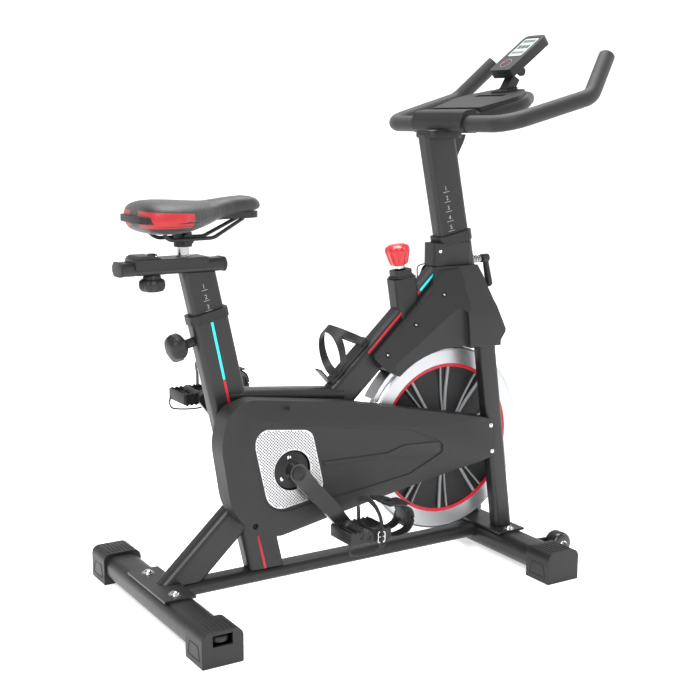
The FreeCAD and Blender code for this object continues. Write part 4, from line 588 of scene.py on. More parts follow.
def stitch_tree() -> PieceTree:
    """Lays short threads along the edge line that the piece is made of."""
    tree = PieceTree("Stitch line")
    tree.socket("Spacing", "Float", 0.004)
    tree.socket("Length", "Float", 0.0028)
    tree.socket("Thread", "Float", 0.0004)
    enter = tree.add("NodeGroupInput")
    curve = tree.add("GeometryNodeMeshToCurve", {0: enter.outputs["Geometry"]})
    spaced = tree.add("GeometryNodeResampleCurve", {"Curve": curve.outputs[0]}, mode="LENGTH")
    reach = next(socket for socket in spaced.inputs if socket.name == "Length")
    tree.tree.links.new(enter.outputs["Spacing"], reach)
    tangent = tree.add("GeometryNodeInputTangent").outputs[0]
    face = tree.add("FunctionNodeAlignRotationToVector", {"Vector": tangent}, axis="Z")
    thread = tree.add("GeometryNodeMeshCylinder", {"Vertices": 6, "Radius": enter.outputs["Thread"],
                                                   "Depth": enter.outputs["Length"]})
    set_out = tree.add("GeometryNodeInstanceOnPoints",
                       {"Points": spaced.outputs[0], "Instance": thread.outputs[0],
                                                        "Rotation": face.outputs[0]})
    tree.close(set_out.outputs[0], enter)
    return tree


REPEAT, PERFORATE, STITCH = repeat_tree(), perforation_tree(), stitch_tree()


# ------------------------------------------------------------------ shape building


class Shape:
    """A mesh put together from simple closed parts."""

    def __init__(self) -> None:
        """Starts empty."""
        self.bm = bmesh.new()

    def _absorb(self, part: bmesh.types.BMesh, place: Matrix | None = None) -> "Shape":
        """Adds a finished part, placed."""
        bmesh.ops.recalc_face_normals(part, faces=part.faces)
        if place is not None:
            part.transform(place)
        mesh = bpy.data.meshes.new("part")
        part.to_mesh(mesh)
        part.free()
        self.bm.from_mesh(mesh)
        bpy.data.meshes.remove(mesh)
        return self

    def prism(self, outline: Sequence[Point], depth: float, place: Matrix, bevel: float = 0.0, steps: int = 2,
              low: float = 0.0) -> "Shape":
        """Adds an outline given a thickness, with rounded rims.

        Args:
            outline: corners in the placement's XY plane, in metres.
            depth: thickness along local Z, in metres.
            place: placement.
            bevel: rim radius in metres.
            steps: segments of the rim.
            low: where the thickness starts along local Z.

        Returns:
            This shape.
        """
        part = bmesh.new()
        bottom = [part.verts.new((x, y, low)) for x, y in outline]
        top = [part.verts.new((x, y, low + depth)) for x, y in outline]
        part.faces.new(bottom)
        part.faces.new(top)
        count = len(outline)
        for index in range(count):
            following = (index + 1) % count
            part.faces.new((bottom[index], bottom[following], top[following], top[index]))
        if bevel:
            rims = [e for e in part.edges if (e.verts[0] in bottom) == (e.verts[1] in bottom)]
            bmesh.ops.bevel(part, geom=rims, offset=bevel, segments=steps, affect="EDGES", profile=0.5,
                            clamp_overlap=True)
        return self._absorb(part, place)

    def box(self, size: Vector, place: Matrix, bevel: float = 0.0005, steps: int = 2) -> "Shape":
        """Adds a box about the placement's origin, with all edges rounded."""
        part = bmesh.new()
        bmesh.ops.create_cube(part, size=1.0, matrix=Matrix.Diagonal((*size, 1.0)))
        if bevel:
            bmesh.ops.bevel(part, geom=part.edges[:], offset=bevel, segments=steps, affect="EDGES",
                            profile=0.5)
        return self._absorb(part, place)

    def lathe(self, profile: Sequence[Point], place: Matrix, sides: int = 48,
              wave: Callable[[float, float, float], float] | None = None) -> "Shape":
        """Adds a turned body.

        Args:
            profile: (radius, height) from one end of the axis to the other, in millimetres.
            place: placement whose local Z is the axis.
            sides: segments around.
            wave: factor on the radius at (angle, radius, height), for lobes and ribs.

        Returns:
            This shape.
        """
        part = bmesh.new()
        rings: list[list[bmesh.types.BMVert]] = []
        for radius, height in profile:
            if radius <= 0:
                rings.append([part.verts.new((0, 0, mm(height)))])
                continue
            ring = []
            for step in range(sides):
                angle = 2 * math.pi * step / sides
                reach = mm(radius) * (wave(angle, radius, height) if wave else 1.0)
                ring.append(part.verts.new((reach * math.cos(angle), reach * math.sin(angle), mm(height))))
            rings.append(ring)
        closed = len(rings[0]) > 1 and len(rings[-1]) > 1
        pairs = list(zip(rings, rings[1:])) + ([(rings[-1], rings[0])] if closed else [])
        for low, high in pairs:
            for step in range(sides):
                following = (step + 1) % sides
                corners = [low[step % len(low)], low[following % len(low)],
                           high[following % len(high)], high[step % len(high)]]
                unique = list(dict.fromkeys(corners))
                if len(unique) > 2:
                    part.faces.new(unique)
        return self._absorb(part, place)

    def loft(self, rings: Sequence[Sequence[Vector]], closed: bool = False, caps: bool = True) -> "Shape":
        """Adds a skin over rings with equal counts of points.

        Args:
            rings: the sections in order.
            closed: whether the last section joins the first.
            caps: whether the ends are closed.

        Returns:
            This shape.
        """
        part = bmesh.new()
        rows = [[part.verts.new(p) for p in ring] for ring in rings]
        count = len(rows[0])
        for low, high in list(zip(rows, rows[1:])) + ([(rows[-1], rows[0])] if closed else []):
            for step in range(count):
                following = (step + 1) % count
                part.faces.new((low[step], low[following], high[following], high[step]))
        if caps and not closed:
            part.faces.new(rows[0])
            part.faces.new(rows[-1])
        return self._absorb(part)

    def sweep(self, path: Sequence[Vector], section: Sequence[Point], up: Vector,
              closed: bool = False) -> "Shape":
        """Adds a section carried along a path.

        Args:
            path: centre line in metres.
            section: outline in metres; its Y lies along up.
            up: direction kept near the section's Y.
            closed: whether the path is a loop.

        Returns:
            This shape.
        """
        rings = []
        count = len(path)
        for index, spot in enumerate(path):
            if closed:
                ahead = path[(index + 1) % count] - path[index - 1]
            else:
                ahead = path[min(index + 1, count - 1)] - path[max(index - 1, 0)]
            side = ahead.cross(up).normalized()
            over = side.cross(ahead).normalized()
            rings.append([spot + side * a + over * b for a, b in section])
        return self.loft(rings, closed=closed)

    def tube(self, path: Sequence[Vector], radius: float, up: Vector = Z_AXIS, sides: int = 14,
             closed: bool = False) -> "Shape":
        """Adds a round bar along a path."""
        section = [(radius * math.cos(2 * math.pi * k / sides), radius * math.sin(2 * math.pi * k / sides))
                   for k in range(sides)]
        return self.sweep(path, section, up, closed)

    def build(self, name: str, finish: Finish, body: str, slot: str | None = None, crease: float = 38.0,
              ride: bool = True) -> bpy.types.Object:
        """Turns the shape into an object of the scene.

        Args:
            name: object name.
            finish: its finish.
            body: CAD body that it moves with.
            slot: the record's material slot; not used.
            crease: angle over which an edge stays sharp, in degrees.
            ride: whether the body is set now, or later after a node tree.

        Returns:
            The object.
        """
        mesh = bpy.data.meshes.new(name)
        self.bm.to_mesh(mesh)
        self.bm.free()
        mesh.shade_smooth()
        mesh.set_sharp_from_angle(angle=math.radians(crease))
        mesh.materials.append(SHOP.material(finish))
        piece = bpy.data.objects.new(name, mesh)
        bpy.context.scene.collection.objects.link(piece)
        if ride:
            settle(piece, body)
        return piece

    def repeated(self, name: str, finish: Finish, body: str, slot: str | None, count: int, start: Vector,
                 step: Vector = Vector((0, 0, 0)), axis: Vector = Y_AXIS, turn: float = 0.0,
                 crease: float = 38.0) -> bpy.types.Object:
        """Builds the shape and repeats it in a row or ring.

        Args:
            name: object name.
            finish: its finish.
            body: CAD body.
            slot: material slot.
            count: how many.
            start: where the first goes; the shape is drawn about the origin.
            step: offset to the next.
            axis: axis each is turned about.
            turn: turn from one to the next, in degrees.
            crease: angle over which an edge stays sharp.

        Returns:
            The object.
        """
        piece = self.build(name, finish, body, slot, crease, ride=False)
        REPEAT.apply(piece, finish, Count=count, Start=tuple(start), Step=tuple(step), Axis=tuple(axis),
                     Turn=math.radians(turn))
        piece.data.set_sharp_from_angle(angle=math.radians(crease))
        settle(piece, body)
        return piece


def settle(piece: bpy.types.Object, body: str) -> bpy.types.Object:
    """Ties a piece to its CAD body and reports it."""
    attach(piece, body)
    log.info("%s rides on %s with %d faces", piece.name, body, len(piece.data.polygons))
    return piece


def figure(text: str, tall: float, place: Matrix, name: str, finish: Finish, body: str) -> bpy.types.Object:
    """A raised figure of a scale.

    Args:
        text: digits.
        tall: height in metres.
        place: placement of its middle; local X reads forward.
        name: object name.
        finish: its finish.
        body: CAD body.

    Returns:
        The object.
    """
    curve = bpy.data.curves.new(name, "FONT")
    curve.body, curve.size, curve.extrude = text, tall * 1.4, 0.00012
    curve.align_x, curve.align_y = "CENTER", "CENTER"
    maker = bpy.data.objects.new(name + "_curve", curve)
    bpy.context.scene.collection.objects.link(maker)
    bpy.context.view_layer.update()
    mesh = bpy.data.meshes.new_from_object(maker.evaluated_get(bpy.context.evaluated_depsgraph_get()))
    bpy.data.objects.remove(maker)
    bpy.data.curves.remove(curve)
    mesh.transform(place)
    mesh.materials.clear()
    mesh.materials.append(SHOP.material(finish))
    mesh.name = name
    piece = bpy.data.objects.new(name, mesh)
    bpy.context.scene.collection.objects.link(piece)
    return settle(piece, body)


def lone(shape: Shape) -> bpy.types.Object:
    """A cutter object from a shape, tied to nothing."""
    return shape.build("cutter", PAINTED_SHADE_BLACK, "", ride=False)


def carve(piece: bpy.types.Object, cutters: Sequence[Shape], crease: float = 30.0) -> bpy.types.Object:
    """Cuts shapes out of a piece.

    Args:
        piece: the piece, before it rides on a body.
        cutters: what is cut away.
        crease: angle over which an edge stays sharp.

    Returns:
        The piece.
    """
    tools = [lone(cutter) for cutter in cutters]
    for tool in tools:
        modifier = piece.modifiers.new("cut", "BOOLEAN")
        modifier.operation, modifier.solver, modifier.object = "DIFFERENCE", "EXACT", tool
    bpy.context.view_layer.update()
    mesh = bpy.data.meshes.new_from_object(piece.evaluated_get(bpy.context.evaluated_depsgraph_get()))
    piece.modifiers.clear()
    finish = piece.data.materials[0]
    piece.data = mesh
    mesh.materials.clear()
    mesh.materials.append(finish)
    mesh.shade_smooth()
    mesh.set_sharp_from_angle(angle=math.radians(crease))
    for tool in tools:
        bpy.data.objects.remove(tool)
    return piece


def merged(node: str) -> bmesh.types.BMesh:
    """A CAD node's mesh with its triangles joined."""
    bm = bmesh.new()
    bm.from_mesh(frame["nodes"][node].data)
    bmesh.ops.remove_doubles(bm, verts=bm.verts, dist=0.00002)
    return bm


def islands(node: str) -> list[tuple[Vector, Vector]]:
    """The lowest and highest corner of each separate solid of a CAD node.

    Args:
        node: CAD node.

    Returns:
        The corners, sorted from the rear forward and from the right to the left.
    """
    bm = merged(node)
    seen: set[bmesh.types.BMVert] = set()
    found = []
    for start in bm.verts:
        if start in seen:
            continue
        group, queue = [], [start]
        seen.add(start)
        while queue:
            vert = queue.pop()
            group.append(vert.co.copy())
            for edge in vert.link_edges:
                other = edge.other_vert(vert)
                if other not in seen:
                    seen.add(other)
                    queue.append(other)
        found.append((Vector(map(min, *group)), Vector(map(max, *group))))
    bm.free()
    return sorted(found, key=lambda box: (round(box[0].x, 2), box[0].y))


def resurfaced(node: str, finish: Finish, crease: float = 32.0) -> bpy.types.Object:
    """A smooth-shaded stand-in for a CAD node with the same shape.

    Args:
        node: CAD node that it replaces.
        finish: its finish.
        crease: angle over which an edge stays sharp.

    Returns:
        The new piece.
    """
    bm = merged(node)
    mesh = bpy.data.meshes.new(node + "_skin")
    bm.to_mesh(mesh)
    bm.free()
    if "custom_normal" in mesh.attributes:
        mesh.attributes.remove(mesh.attributes["custom_normal"])
    mesh.materials.clear()
    mesh.materials.append(SHOP.material(finish))
    mesh.polygons.foreach_set("material_index", [0] * len(mesh.polygons))
    mesh.shade_smooth()
    mesh.set_sharp_from_angle(angle=math.radians(crease))
    piece = bpy.data.objects.new(node + "_skin", mesh)
    bpy.context.scene.collection.objects.link(piece)
    settle(piece, frame["nodes"][node]["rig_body"])
    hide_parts(node)
    return piece


def stripe(points: Sequence[Point], wide: float, y: float, name: str, finish: Finish, body: str,
           slot: str) -> None:
    """A painted line on both side faces of a tube.

    Args:
        points: (x, z) along the line in millimetres.
        wide: width in millimetres.
        y: distance of the side face from the middle in millimetres.
        name: object name; the side is added.
        finish: its finish.
        body: CAD body.
        slot: material slot.
    """
    for side, word in ((RIGHT, "right"), (LEFT, "left")):
        low, high = (at(x, side * y, z) for x, z in points)
        run = high - low
        place = axes(low, run, Y_AXIS.cross(run))
        outline = oblong(run.length * 500, 0, run.length * 1000, wide, 0.6)
        Shape().prism(outline, 0.0006, place, 0.0001, low=-0.0003).build(f"{name}_{word}", finish, body, slot)


def dome(radius: float, height: float) -> list[Point]:
    """A turned profile of a domed screw head, in millimetres."""
    return [(radius * 0.9, -1), (radius, 0), (radius, height * 0.25), (radius * 0.86, height * 0.62),
            (radius * 0.55, height * 0.88), (0, height)]


def lobes(count: int, depth: float) -> Callable[[float, float, float], float]:
    """A radius factor with rounded lobes around the axis."""
    return lambda angle, radius, height: 1 - depth * (0.5 - 0.5 * math.cos(count * angle)) ** 1.5


@dataclass
class Base:
    """Stabilisers, floor rail, plates, caps, levelling wheels and rollers."""

    bolt_radius: float = 9.0
    rib_count: int = 7
    rib_pitch: float = 8.2
    roller_x: float = 428.0
    roller_y: float = 154.0
    roller_z: float = 37.0

    def build(self) -> None:
        """Builds the base."""
        for node in ("rear_stabilizer", "front_stabilizer", "base_rail", "mounting_plates"):
            resurfaced(node, POWDER_BLACK)
        self.bolts()
        self.caps()
        self.wheels()

    def bolts(self) -> None:
        """Chrome domed bolts on the mounting plates."""
        heads = Shape()
        for low, high in islands("stabilizer_bolts"):
            middle = (low + high) / 2
            heads.lathe([(12.5, -1), (12.5, 0.8), (0, 0.8)],
                        turned_to(Vector((middle.x, middle.y, mm(63))), Z_AXIS))
            heads.lathe(dome(self.bolt_radius, 6), turned_to(Vector((middle.x, middle.y, mm(63.8))), Z_AXIS),
                        32)
        piece = heads.build("plate_bolts", CHROME, "frame", "bright_steel")
        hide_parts("stabilizer_bolts")

    def caps(self) -> None:
        """Foot caps with raised ribs on top and framed side faces."""
        resurfaced("foot_caps", TRIM_BLACK, 25)
        for index, (low, high) in enumerate(islands("foot_caps")):
            middle = (low + high) / 2
            if high.y - low.y < mm(30):
                continue
            width = (high.y - low.y) * 1000
            rib = Shape().box(at(4.2, width - 16, 2.4), Matrix.Identity(4), 0.001, 3)
            start = Vector((middle.x - mm(self.rib_pitch * (self.rib_count - 1) / 2), middle.y, high.z))
            rib.repeated(f"foot_cap_ribs_{index}", TRIM_BLACK, "frame", "trim_plastic", self.rib_count, start,
                         at(self.rib_pitch, 0, 0))
            line = Shape()
            side = 1 if middle.x > 0 else -1
            face_x = high.x if side > 0 else low.x
            ring = [Vector((face_x, middle.y + mm(a), mm(b))) for a, b in
                    ((-24, 12), (24, 12), (17, 38), (-17, 38))]
            for seen in (face_x, low.x if side > 0 else high.x):
                path = smooth_line([Vector((seen, p.y, p.z)) for p in self._dense(ring)], 1, True)
                line.tube(path, 0.0009, X_AXIS, 8, True)
            line.build(f"foot_cap_emboss_{index}", TRIM_BLACK, "frame", "trim_plastic")

    def _dense(self, corners: Sequence[Vector]) -> list[Vector]:
        """Points spread along a closed polygon."""
        points = []
        for index, here in enumerate(corners):
            following = corners[(index + 1) % len(corners)]
            points += [here.lerp(following, share) for share in (0.04, 0.3, 0.6, 0.96)]
        return points

    def wheels(self) -> None:
        """Rollers with chrome caps and knurled levelling wheels."""
        tyre = [(6, -18), (19, -18), (22, -16.5), (24.6, -12), (25, -6), (25, 6), (24.6, 12), (22, 16.5),
                (19, 18), (6, 18)]
        for side, word in ((RIGHT, "right"), (LEFT, "left")):
            centre = at(self.roller_x, side * self.roller_y, self.roller_z)
            body = f"{word}_roller"
            wheel = Shape().lathe(tyre, turned_to(centre, Y_AXIS), 56)
            wheel = wheel.build(f"roller_{word}", ROLLER, body, "roller_plastic")
            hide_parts(f"transport_wheel_{word}")
            cap = Shape()
            for facing in (RIGHT, LEFT):
                cap.lathe(dome(9.5, 5), turned_to(centre + Y_AXIS * facing * mm(18), Y_AXIS * facing), 32)
            cap.build(f"roller_cap_{word}", CHROME, body, "bright_steel")
            low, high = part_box(f"leveling_wheel_{word}")
            foot = Vector(((low.x + high.x) / 2, (low.y + high.y) / 2, low.z))
            radius, tall = (high.x - low.x) * 500, (high.z - low.z) * 1000
            knurl = [(0, 0), (radius * 0.9, 0), (radius, 2), (radius, tall - 2), (radius * 0.9, tall),
                     (0, tall)]
            disc = Shape().lathe(knurl, turned_to(foot, Z_AXIS), 96,
                                 lambda angle, r, h: 1 - 0.03 * (0.5 + 0.5 * math.cos(24 * angle)))
            disc = disc.build(f"leveler_{word}", TRIM_BLACK, f"{word}_leveler", "trim_plastic", 50)
            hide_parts(f"leveling_wheel_{word}")


@dataclass
class Frame:
    """Tubes, fork, stripes and the small steel parts of the frame."""

    seat_side: float = 20.0
    main_side: float = 19.0
    stripe_width: float = 5.0

    def build(self) -> None:
        """Builds the frame."""
        for node in ("main_tube", "seat_tube", "top_tube", "head_tube", "fork_crown", "fork_legs",
                     "bottom_bracket_shell"):
            resurfaced(node, POWDER_BLACK)
        for node in ("bottom_bracket_bearings", "axle_dropouts", "flywheel_axle"):
            resurfaced(node, STEEL)
        resurfaced("bottle_cage", TRIM_BLACK, 28)
        for node in ("seat_collar", "head_collar"):
            resurfaced(node, TRIM_BLACK)
        self.stripes()

    def stripes(self) -> None:
        """Red and cyan lines on the seat tube and main tube."""
        seat = [((-326, 563), (-302, 451), STRIPE_CYAN), ((-302, 450), (-292, 404), STRIPE_RED),
                ((-233, 129), (-217, 58), STRIPE_RED)]
        for index, (low, high, finish) in enumerate(seat):
            stripe((low, high), self.stripe_width, self.seat_side, f"seat_tube_line_{index}", finish, "frame",
                   "frame_paint")
        main = [((24, 470), (150, 589), STRIPE_RED), ((150.5, 589.5), (184, 621), STRIPE_CYAN)]
        for index, (low, high, finish) in enumerate(main):
            stripe((low, high), self.stripe_width, self.main_side - 0.2, f"main_tube_line_{index}", finish,
                   "frame", "frame_paint")


@dataclass
class BeltCover:
    """The moulded belt cover with its sunk panel, ridge, grille and screws."""

    face: float = 77.0
    seam: float = 50.0
    panel_depth: float = 2.4
    crank_x: float = -185.0
    crank_z: float = 269.0
    hole_radius: float = 40.0
    pitch: float = 6.2
    hole: float = 1.25
    outline: tuple[tuple[float, float, float], ...] = (
        (-269, 416, 58), (-52, 386, 200), (292, 314, 34), (314, 290, 12), (309, 230, 14), (276, 221, 40),
        (-212, 141, 60), (-262, 150, 80), (-318, 205, 90), (-338, 336, 110), (-322, 400, 40))
    panel: tuple[tuple[float, float, float], ...] = (
        (-277, 376, 50), (91, 315, 20), (163, 283, 8), (173, 274, 8), (173, 256, 10), (90, 221, 20),
        (-54, 204, 30), (-249, 184, 60))
    ridge: tuple[tuple[float, float, float], ...] = (
        (-116, 277, 1), (35, 273, 12), (78, 284, 12), (158, 280, 5), (165, 275, 4), (165, 260, 4),
        (152, 255, 8), (95, 256, 14), (38, 265, 14), (-114, 267, 1))
    sunk_screws: tuple[Point, ...] = ((-194, 394), (-268, 170))
    grille: tuple[tuple[float, float, float], ...] = (
        (-274, 361, 26), (-141, 344, 26), (-110, 209, 28), (-236, 190, 40))

    def build(self) -> None:
        """Builds the cover."""
        self.shell()
        resurfaced("belt_cover_inner", COVER_BLACK)
        resurfaced("drive_belt", BELT_RUBBER, 50)
        self.ridge_bar()
        self.grille_sheet()
        self.screws()

    def shell(self) -> None:
        """The outer half, with sloping bands along its top and foot and the sunk panel."""
        depth = mm(self.face - self.seam)
        body = Shape().prism(rounded(self.outline, 10), depth, side_plane(0), 0.0022, 3, low=mm(self.seam))
        top = [(-380, 448), (-330, 412), (-277, 381), (-250, 375), (52, 329), (194, 313), (293, 317),
               (340, 326)]
        foot = [(-230, 120), (-212, 143), (-100, 176), (52, 209), (202, 230), (300, 228), (340, 222)]
        wedge = Shape().loft([self._slope(x, z, 1) for x, z in top])
        lower = Shape().loft([self._slope(x, z, -1) for x, z in foot])
        sunk = Shape().prism(rounded(self.panel, 8), 0.02, side_plane(0),
                             low=mm(self.face - self.panel_depth))
        pocket = Shape().prism(rounded(self.grille, 10), 0.02, side_plane(0),
                               low=mm(self.face - self.panel_depth - 1.6))
        bore = Shape().lathe([(self.hole_radius, 0), (self.hole_radius, 60), (0, 60), (0, 0)][::-1],
                             turned_to(at(self.crank_x, -self.face - 20, self.crank_z), Y_AXIS), 64)
        screw_holes = Shape()
        for x, z in self.sunk_screws:
            screw_holes.lathe([(0, 0), (6, 0), (6, 20), (0, 20)],
                              turned_to(at(x, -self.face + 4, z), -Y_AXIS), 28)
        piece = body.build("belt_cover_shell", COVER_BLACK, "frame", ride=False)
        carve(piece, [wedge, lower, sunk, pocket, bore, screw_holes], 24)
        settle(piece, "frame")
        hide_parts("belt_cover_outer")

    def _slope(self, x: float, z: float, up: int) -> list[Vector]:
        """One section of the wedge cut off above or below a crease line."""
        slope = 0.35
        return [at(x, -self.face - 0.4, z - up * 1.6), at(x, -self.face - 30, z - up * 1.6),
                at(x, -self.face - 30, z + up * 130), at(x, -self.face + slope * 130, z + up * 130)]

    def ridge_bar(self) -> None:
        """The raised bar that runs forward inside the sunk panel."""
        bar = Shape().prism(rounded(self.ridge, 5), mm(self.panel_depth + 0.6), side_plane(0), 0.0013, 3,
                            low=mm(self.face - self.panel_depth - 0.8))
        bar.build("cover_ridge", COVER_BLACK, "frame", "cover_plastic")

    def grille_sheet(self) -> None:
        """The steel sheet around the crank; its holes are dark dots, the black cover behind them with painted shade.
        """
        front = self.face - self.panel_depth - 0.2
        sheet = Shape().prism(rounded(self.grille, 10), 0.0012, side_plane(0), 0.0002, 1, low=mm(front - 1.2))
        plate = sheet.build("grille_sheet", GRILLE, "frame", ride=False)
        bore = Shape().lathe([(0, 0), (self.hole_radius, 0), (self.hole_radius, 60), (0, 60)],
                             turned_to(at(self.crank_x, -self.face - 20, self.crank_z), Y_AXIS), 64)
        carve(plate, [bore])
        settle(plate, "frame")
        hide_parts("cover_grille")
        # The holes are not cut: dark dots on the sheet stand for the black cover seen through them, darkened as
        # painted shade.
        hole = Shape().prism(oblong(0, 0, 2 * self.hole, 2 * self.hole, self.hole * 0.62)[::4], 0.0003,
                             side_plane(0), low=0.0)
        dots = hole.build("grille_holes", PAINTED_SHADE_BLACK, "frame", ride=False)
        PERFORATE.apply(dots, PAINTED_SHADE_BLACK, Sheet=plate, Rows=64, Columns=32,
                        Pitch=mm(self.pitch), Middle=tuple(at(-190, -front - 0.02, 276)),
                        Opening=tuple(at(self.crank_x, -front - 0.02, self.crank_z)),
                        Opening_Radius=mm(self.hole_radius + 2))
        settle(dots, "frame")

    def screws(self) -> None:
        """Chrome screws at the fork and black ones sunk in the shell."""
        bright = Shape()
        for x, z in ((298, 297), (303, 240)):
            bright.lathe(dome(5.2, 3), turned_to(at(x, -self.face, z), -Y_AXIS), 28)
        bright.lathe(dome(4.2, 2.2), turned_to(at(196, -24, 668), -Y_AXIS), 28)
        piece = bright.build("cover_screws_bright", CHROME, "frame", "bright_steel")
        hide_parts("cover_screws")
        # The sunk screws are black, drawn in the near-black matte that also paints the shade of their holes.
        dark = Shape()
        for x, z in self.sunk_screws:
            dark.lathe(dome(4.6, 2), turned_to(at(x, -self.face + 4, z), -Y_AXIS), 28)
        dark.build("cover_screws_dark", PAINTED_SHADE_BLACK, "frame", "trim_plastic")


@dataclass
class Shroud:
    """The moulded shroud over the head and fork, with the head block and brake boot."""

    inner: float = 20.5
    face: float = 77.0
    edge: float = 31.0
    slope: float = 0.546
    rim_clear: float = 207.0
    low: Point = (30.0, 462.0)
    high: Point = (176.0, 600.0)

    def build(self) -> None:
        """Builds both halves, the head block and the boot."""
        for side, word in ((RIGHT, "right"), (LEFT, "left")):
            self.half(side, word)
        resurfaced("head_cover", COVER_BLACK, 28)
        self.boot()

    def half(self, side: float, word: str) -> None:
        """One half of the shroud.

        Args:
            side: RIGHT or LEFT.
            word: the side's name.
        """
        rim = [(WHEEL_X + self.rim_clear * math.cos(math.radians(a)),
                WHEEL_Z + self.rim_clear * math.sin(math.radians(a)))
               for a in range(78, 136, 6)]
        corners = [(*self.low, 4), (*self.high, 4), (183, 637, 0), (283, 637, 0), (291, 612, 0),
                   (303, 567, 0), (317, 532, 0),
                   (333, 500, 5), (312, 470, 5)] + [(x, z, 0) for x, z in rim] + [(70, 428, 6), (50, 436, 5)]
        outline = rounded(corners, 5)
        place = axes(Vector(), X_AXIS, Z_AXIS)
        if side > 0:
            place = Matrix.Diagonal((1, -1, 1, 1)) @ place
        body = Shape().prism(outline, mm(self.face - self.inner), place, 0.002, 2, low=mm(self.inner))
        piece = body.build(f"shroud_shell_{word}", COVER_BLACK, "frame", ride=False)
        low, high = Vector((*self.low, 0)), Vector((*self.high, 0))
        run = (high - low).normalized()
        out = Vector((run.y, -run.x, 0))
        ramp = []
        for along in (-150, 420):
            start = low + run * along
            points = [(start - out * 60, self.edge - 60 * self.slope),
                      (start + out * 260, self.edge + 260 * self.slope),
                      (start + out * 260, 260.0), (start - out * 60, 260.0)]
            ramp.append([at(p.x, side * y, p.y) for p, y in points])
        brow = []
        for x in (-60, 420):
            section = [(660, 31), (637, 38), (612, 50), (588, 59), (570, 67), (553, 74), (538, 76.4),
                       (525, 77.3), (400, 77.3), (400, 200), (660, 200)]
            brow.append([at(x, side * y, z) for z, y in section])
        fold = [((69, 446), 52), ((206, 549), 63.3), ((222, 553), 65.5), ((233, 545), 66), ((240, 468), 66),
                ((240, 380), 64), ((60, 380), 40)]
        floor = [at(p[0], side * y, p[1]) for p, y in fold]
        roof = [at(p[0], side * 150, p[1]) for p, _ in fold]
        carve(piece, [Shape().loft(ramp), Shape().loft(brow), Shape().loft([floor, roof])], 16)
        settle(piece, "frame")
        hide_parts(f"shroud_{word}")
        self.lip(side, word)
        # Each screw sits on a flat dark ring that paints the shade of a recess around it.
        shade_rings, heads = Shape(), Shape()
        normal = Vector((-out.x * self.slope, side, -out.y * self.slope)).normalized()
        for x, z in ((193, 581), (125, 523), (58, 466)):
            spot = Vector((x, z, 0))
            reach = self.edge + (spot - low).dot(out) * self.slope
            base = at(x, side * reach, z)
            shade_rings.lathe([(0, -2), (6, -2), (6, 0.15), (4.6, 0.35), (0, 0.35)], turned_to(base, normal), 28)
            heads.lathe(dome(2.2, 1.0), turned_to(base + normal * mm(0.2), normal), 20)
        shade_rings.build(f"shroud_screw_pits_{word}", PAINTED_SHADE_BLACK, "frame", "trim_plastic")
        heads.build(f"shroud_screws_{word}", STEEL, "frame", "bright_steel")

    def lip(self, side: float, word: str) -> None:
        """The thin raised rim along the main tube."""
        path = [at(33, side * 33.2, 459), at(103, side * 33.2, 528), at(173, side * 33.2, 596),
                at(182, side * 34, 633), at(228, side * 40, 635)]
        line = smooth_line(path, 10)
        Shape().tube(line, 0.0013, Y_AXIS, 8).build(f"shroud_lip_{word}", COVER_BLACK, "frame",
                                                    "cover_plastic")

    def boot(self) -> None:
        """Ribbed rubber boot around the brake rod."""
        resurfaced("brake_boot", TRIM_BLACK, 28)
        axis = leaning(BRAKE_LEAN)[1]
        rib = Shape().prism(oblong(0, 0, 47, 42.6, 12), 0.0032, Matrix.Translation((0, 0, -0.0016)), 0.0014,
                            3)
        top = at(114.8, 0, 620)
        rib.bm.transform(Matrix.Rotation(-BRAKE_LEAN, 4, "Y"))
        rib.repeated("brake_boot_ribs", TRIM_BLACK, "frame", "trim_plastic", 6, top, -axis * mm(8.4))


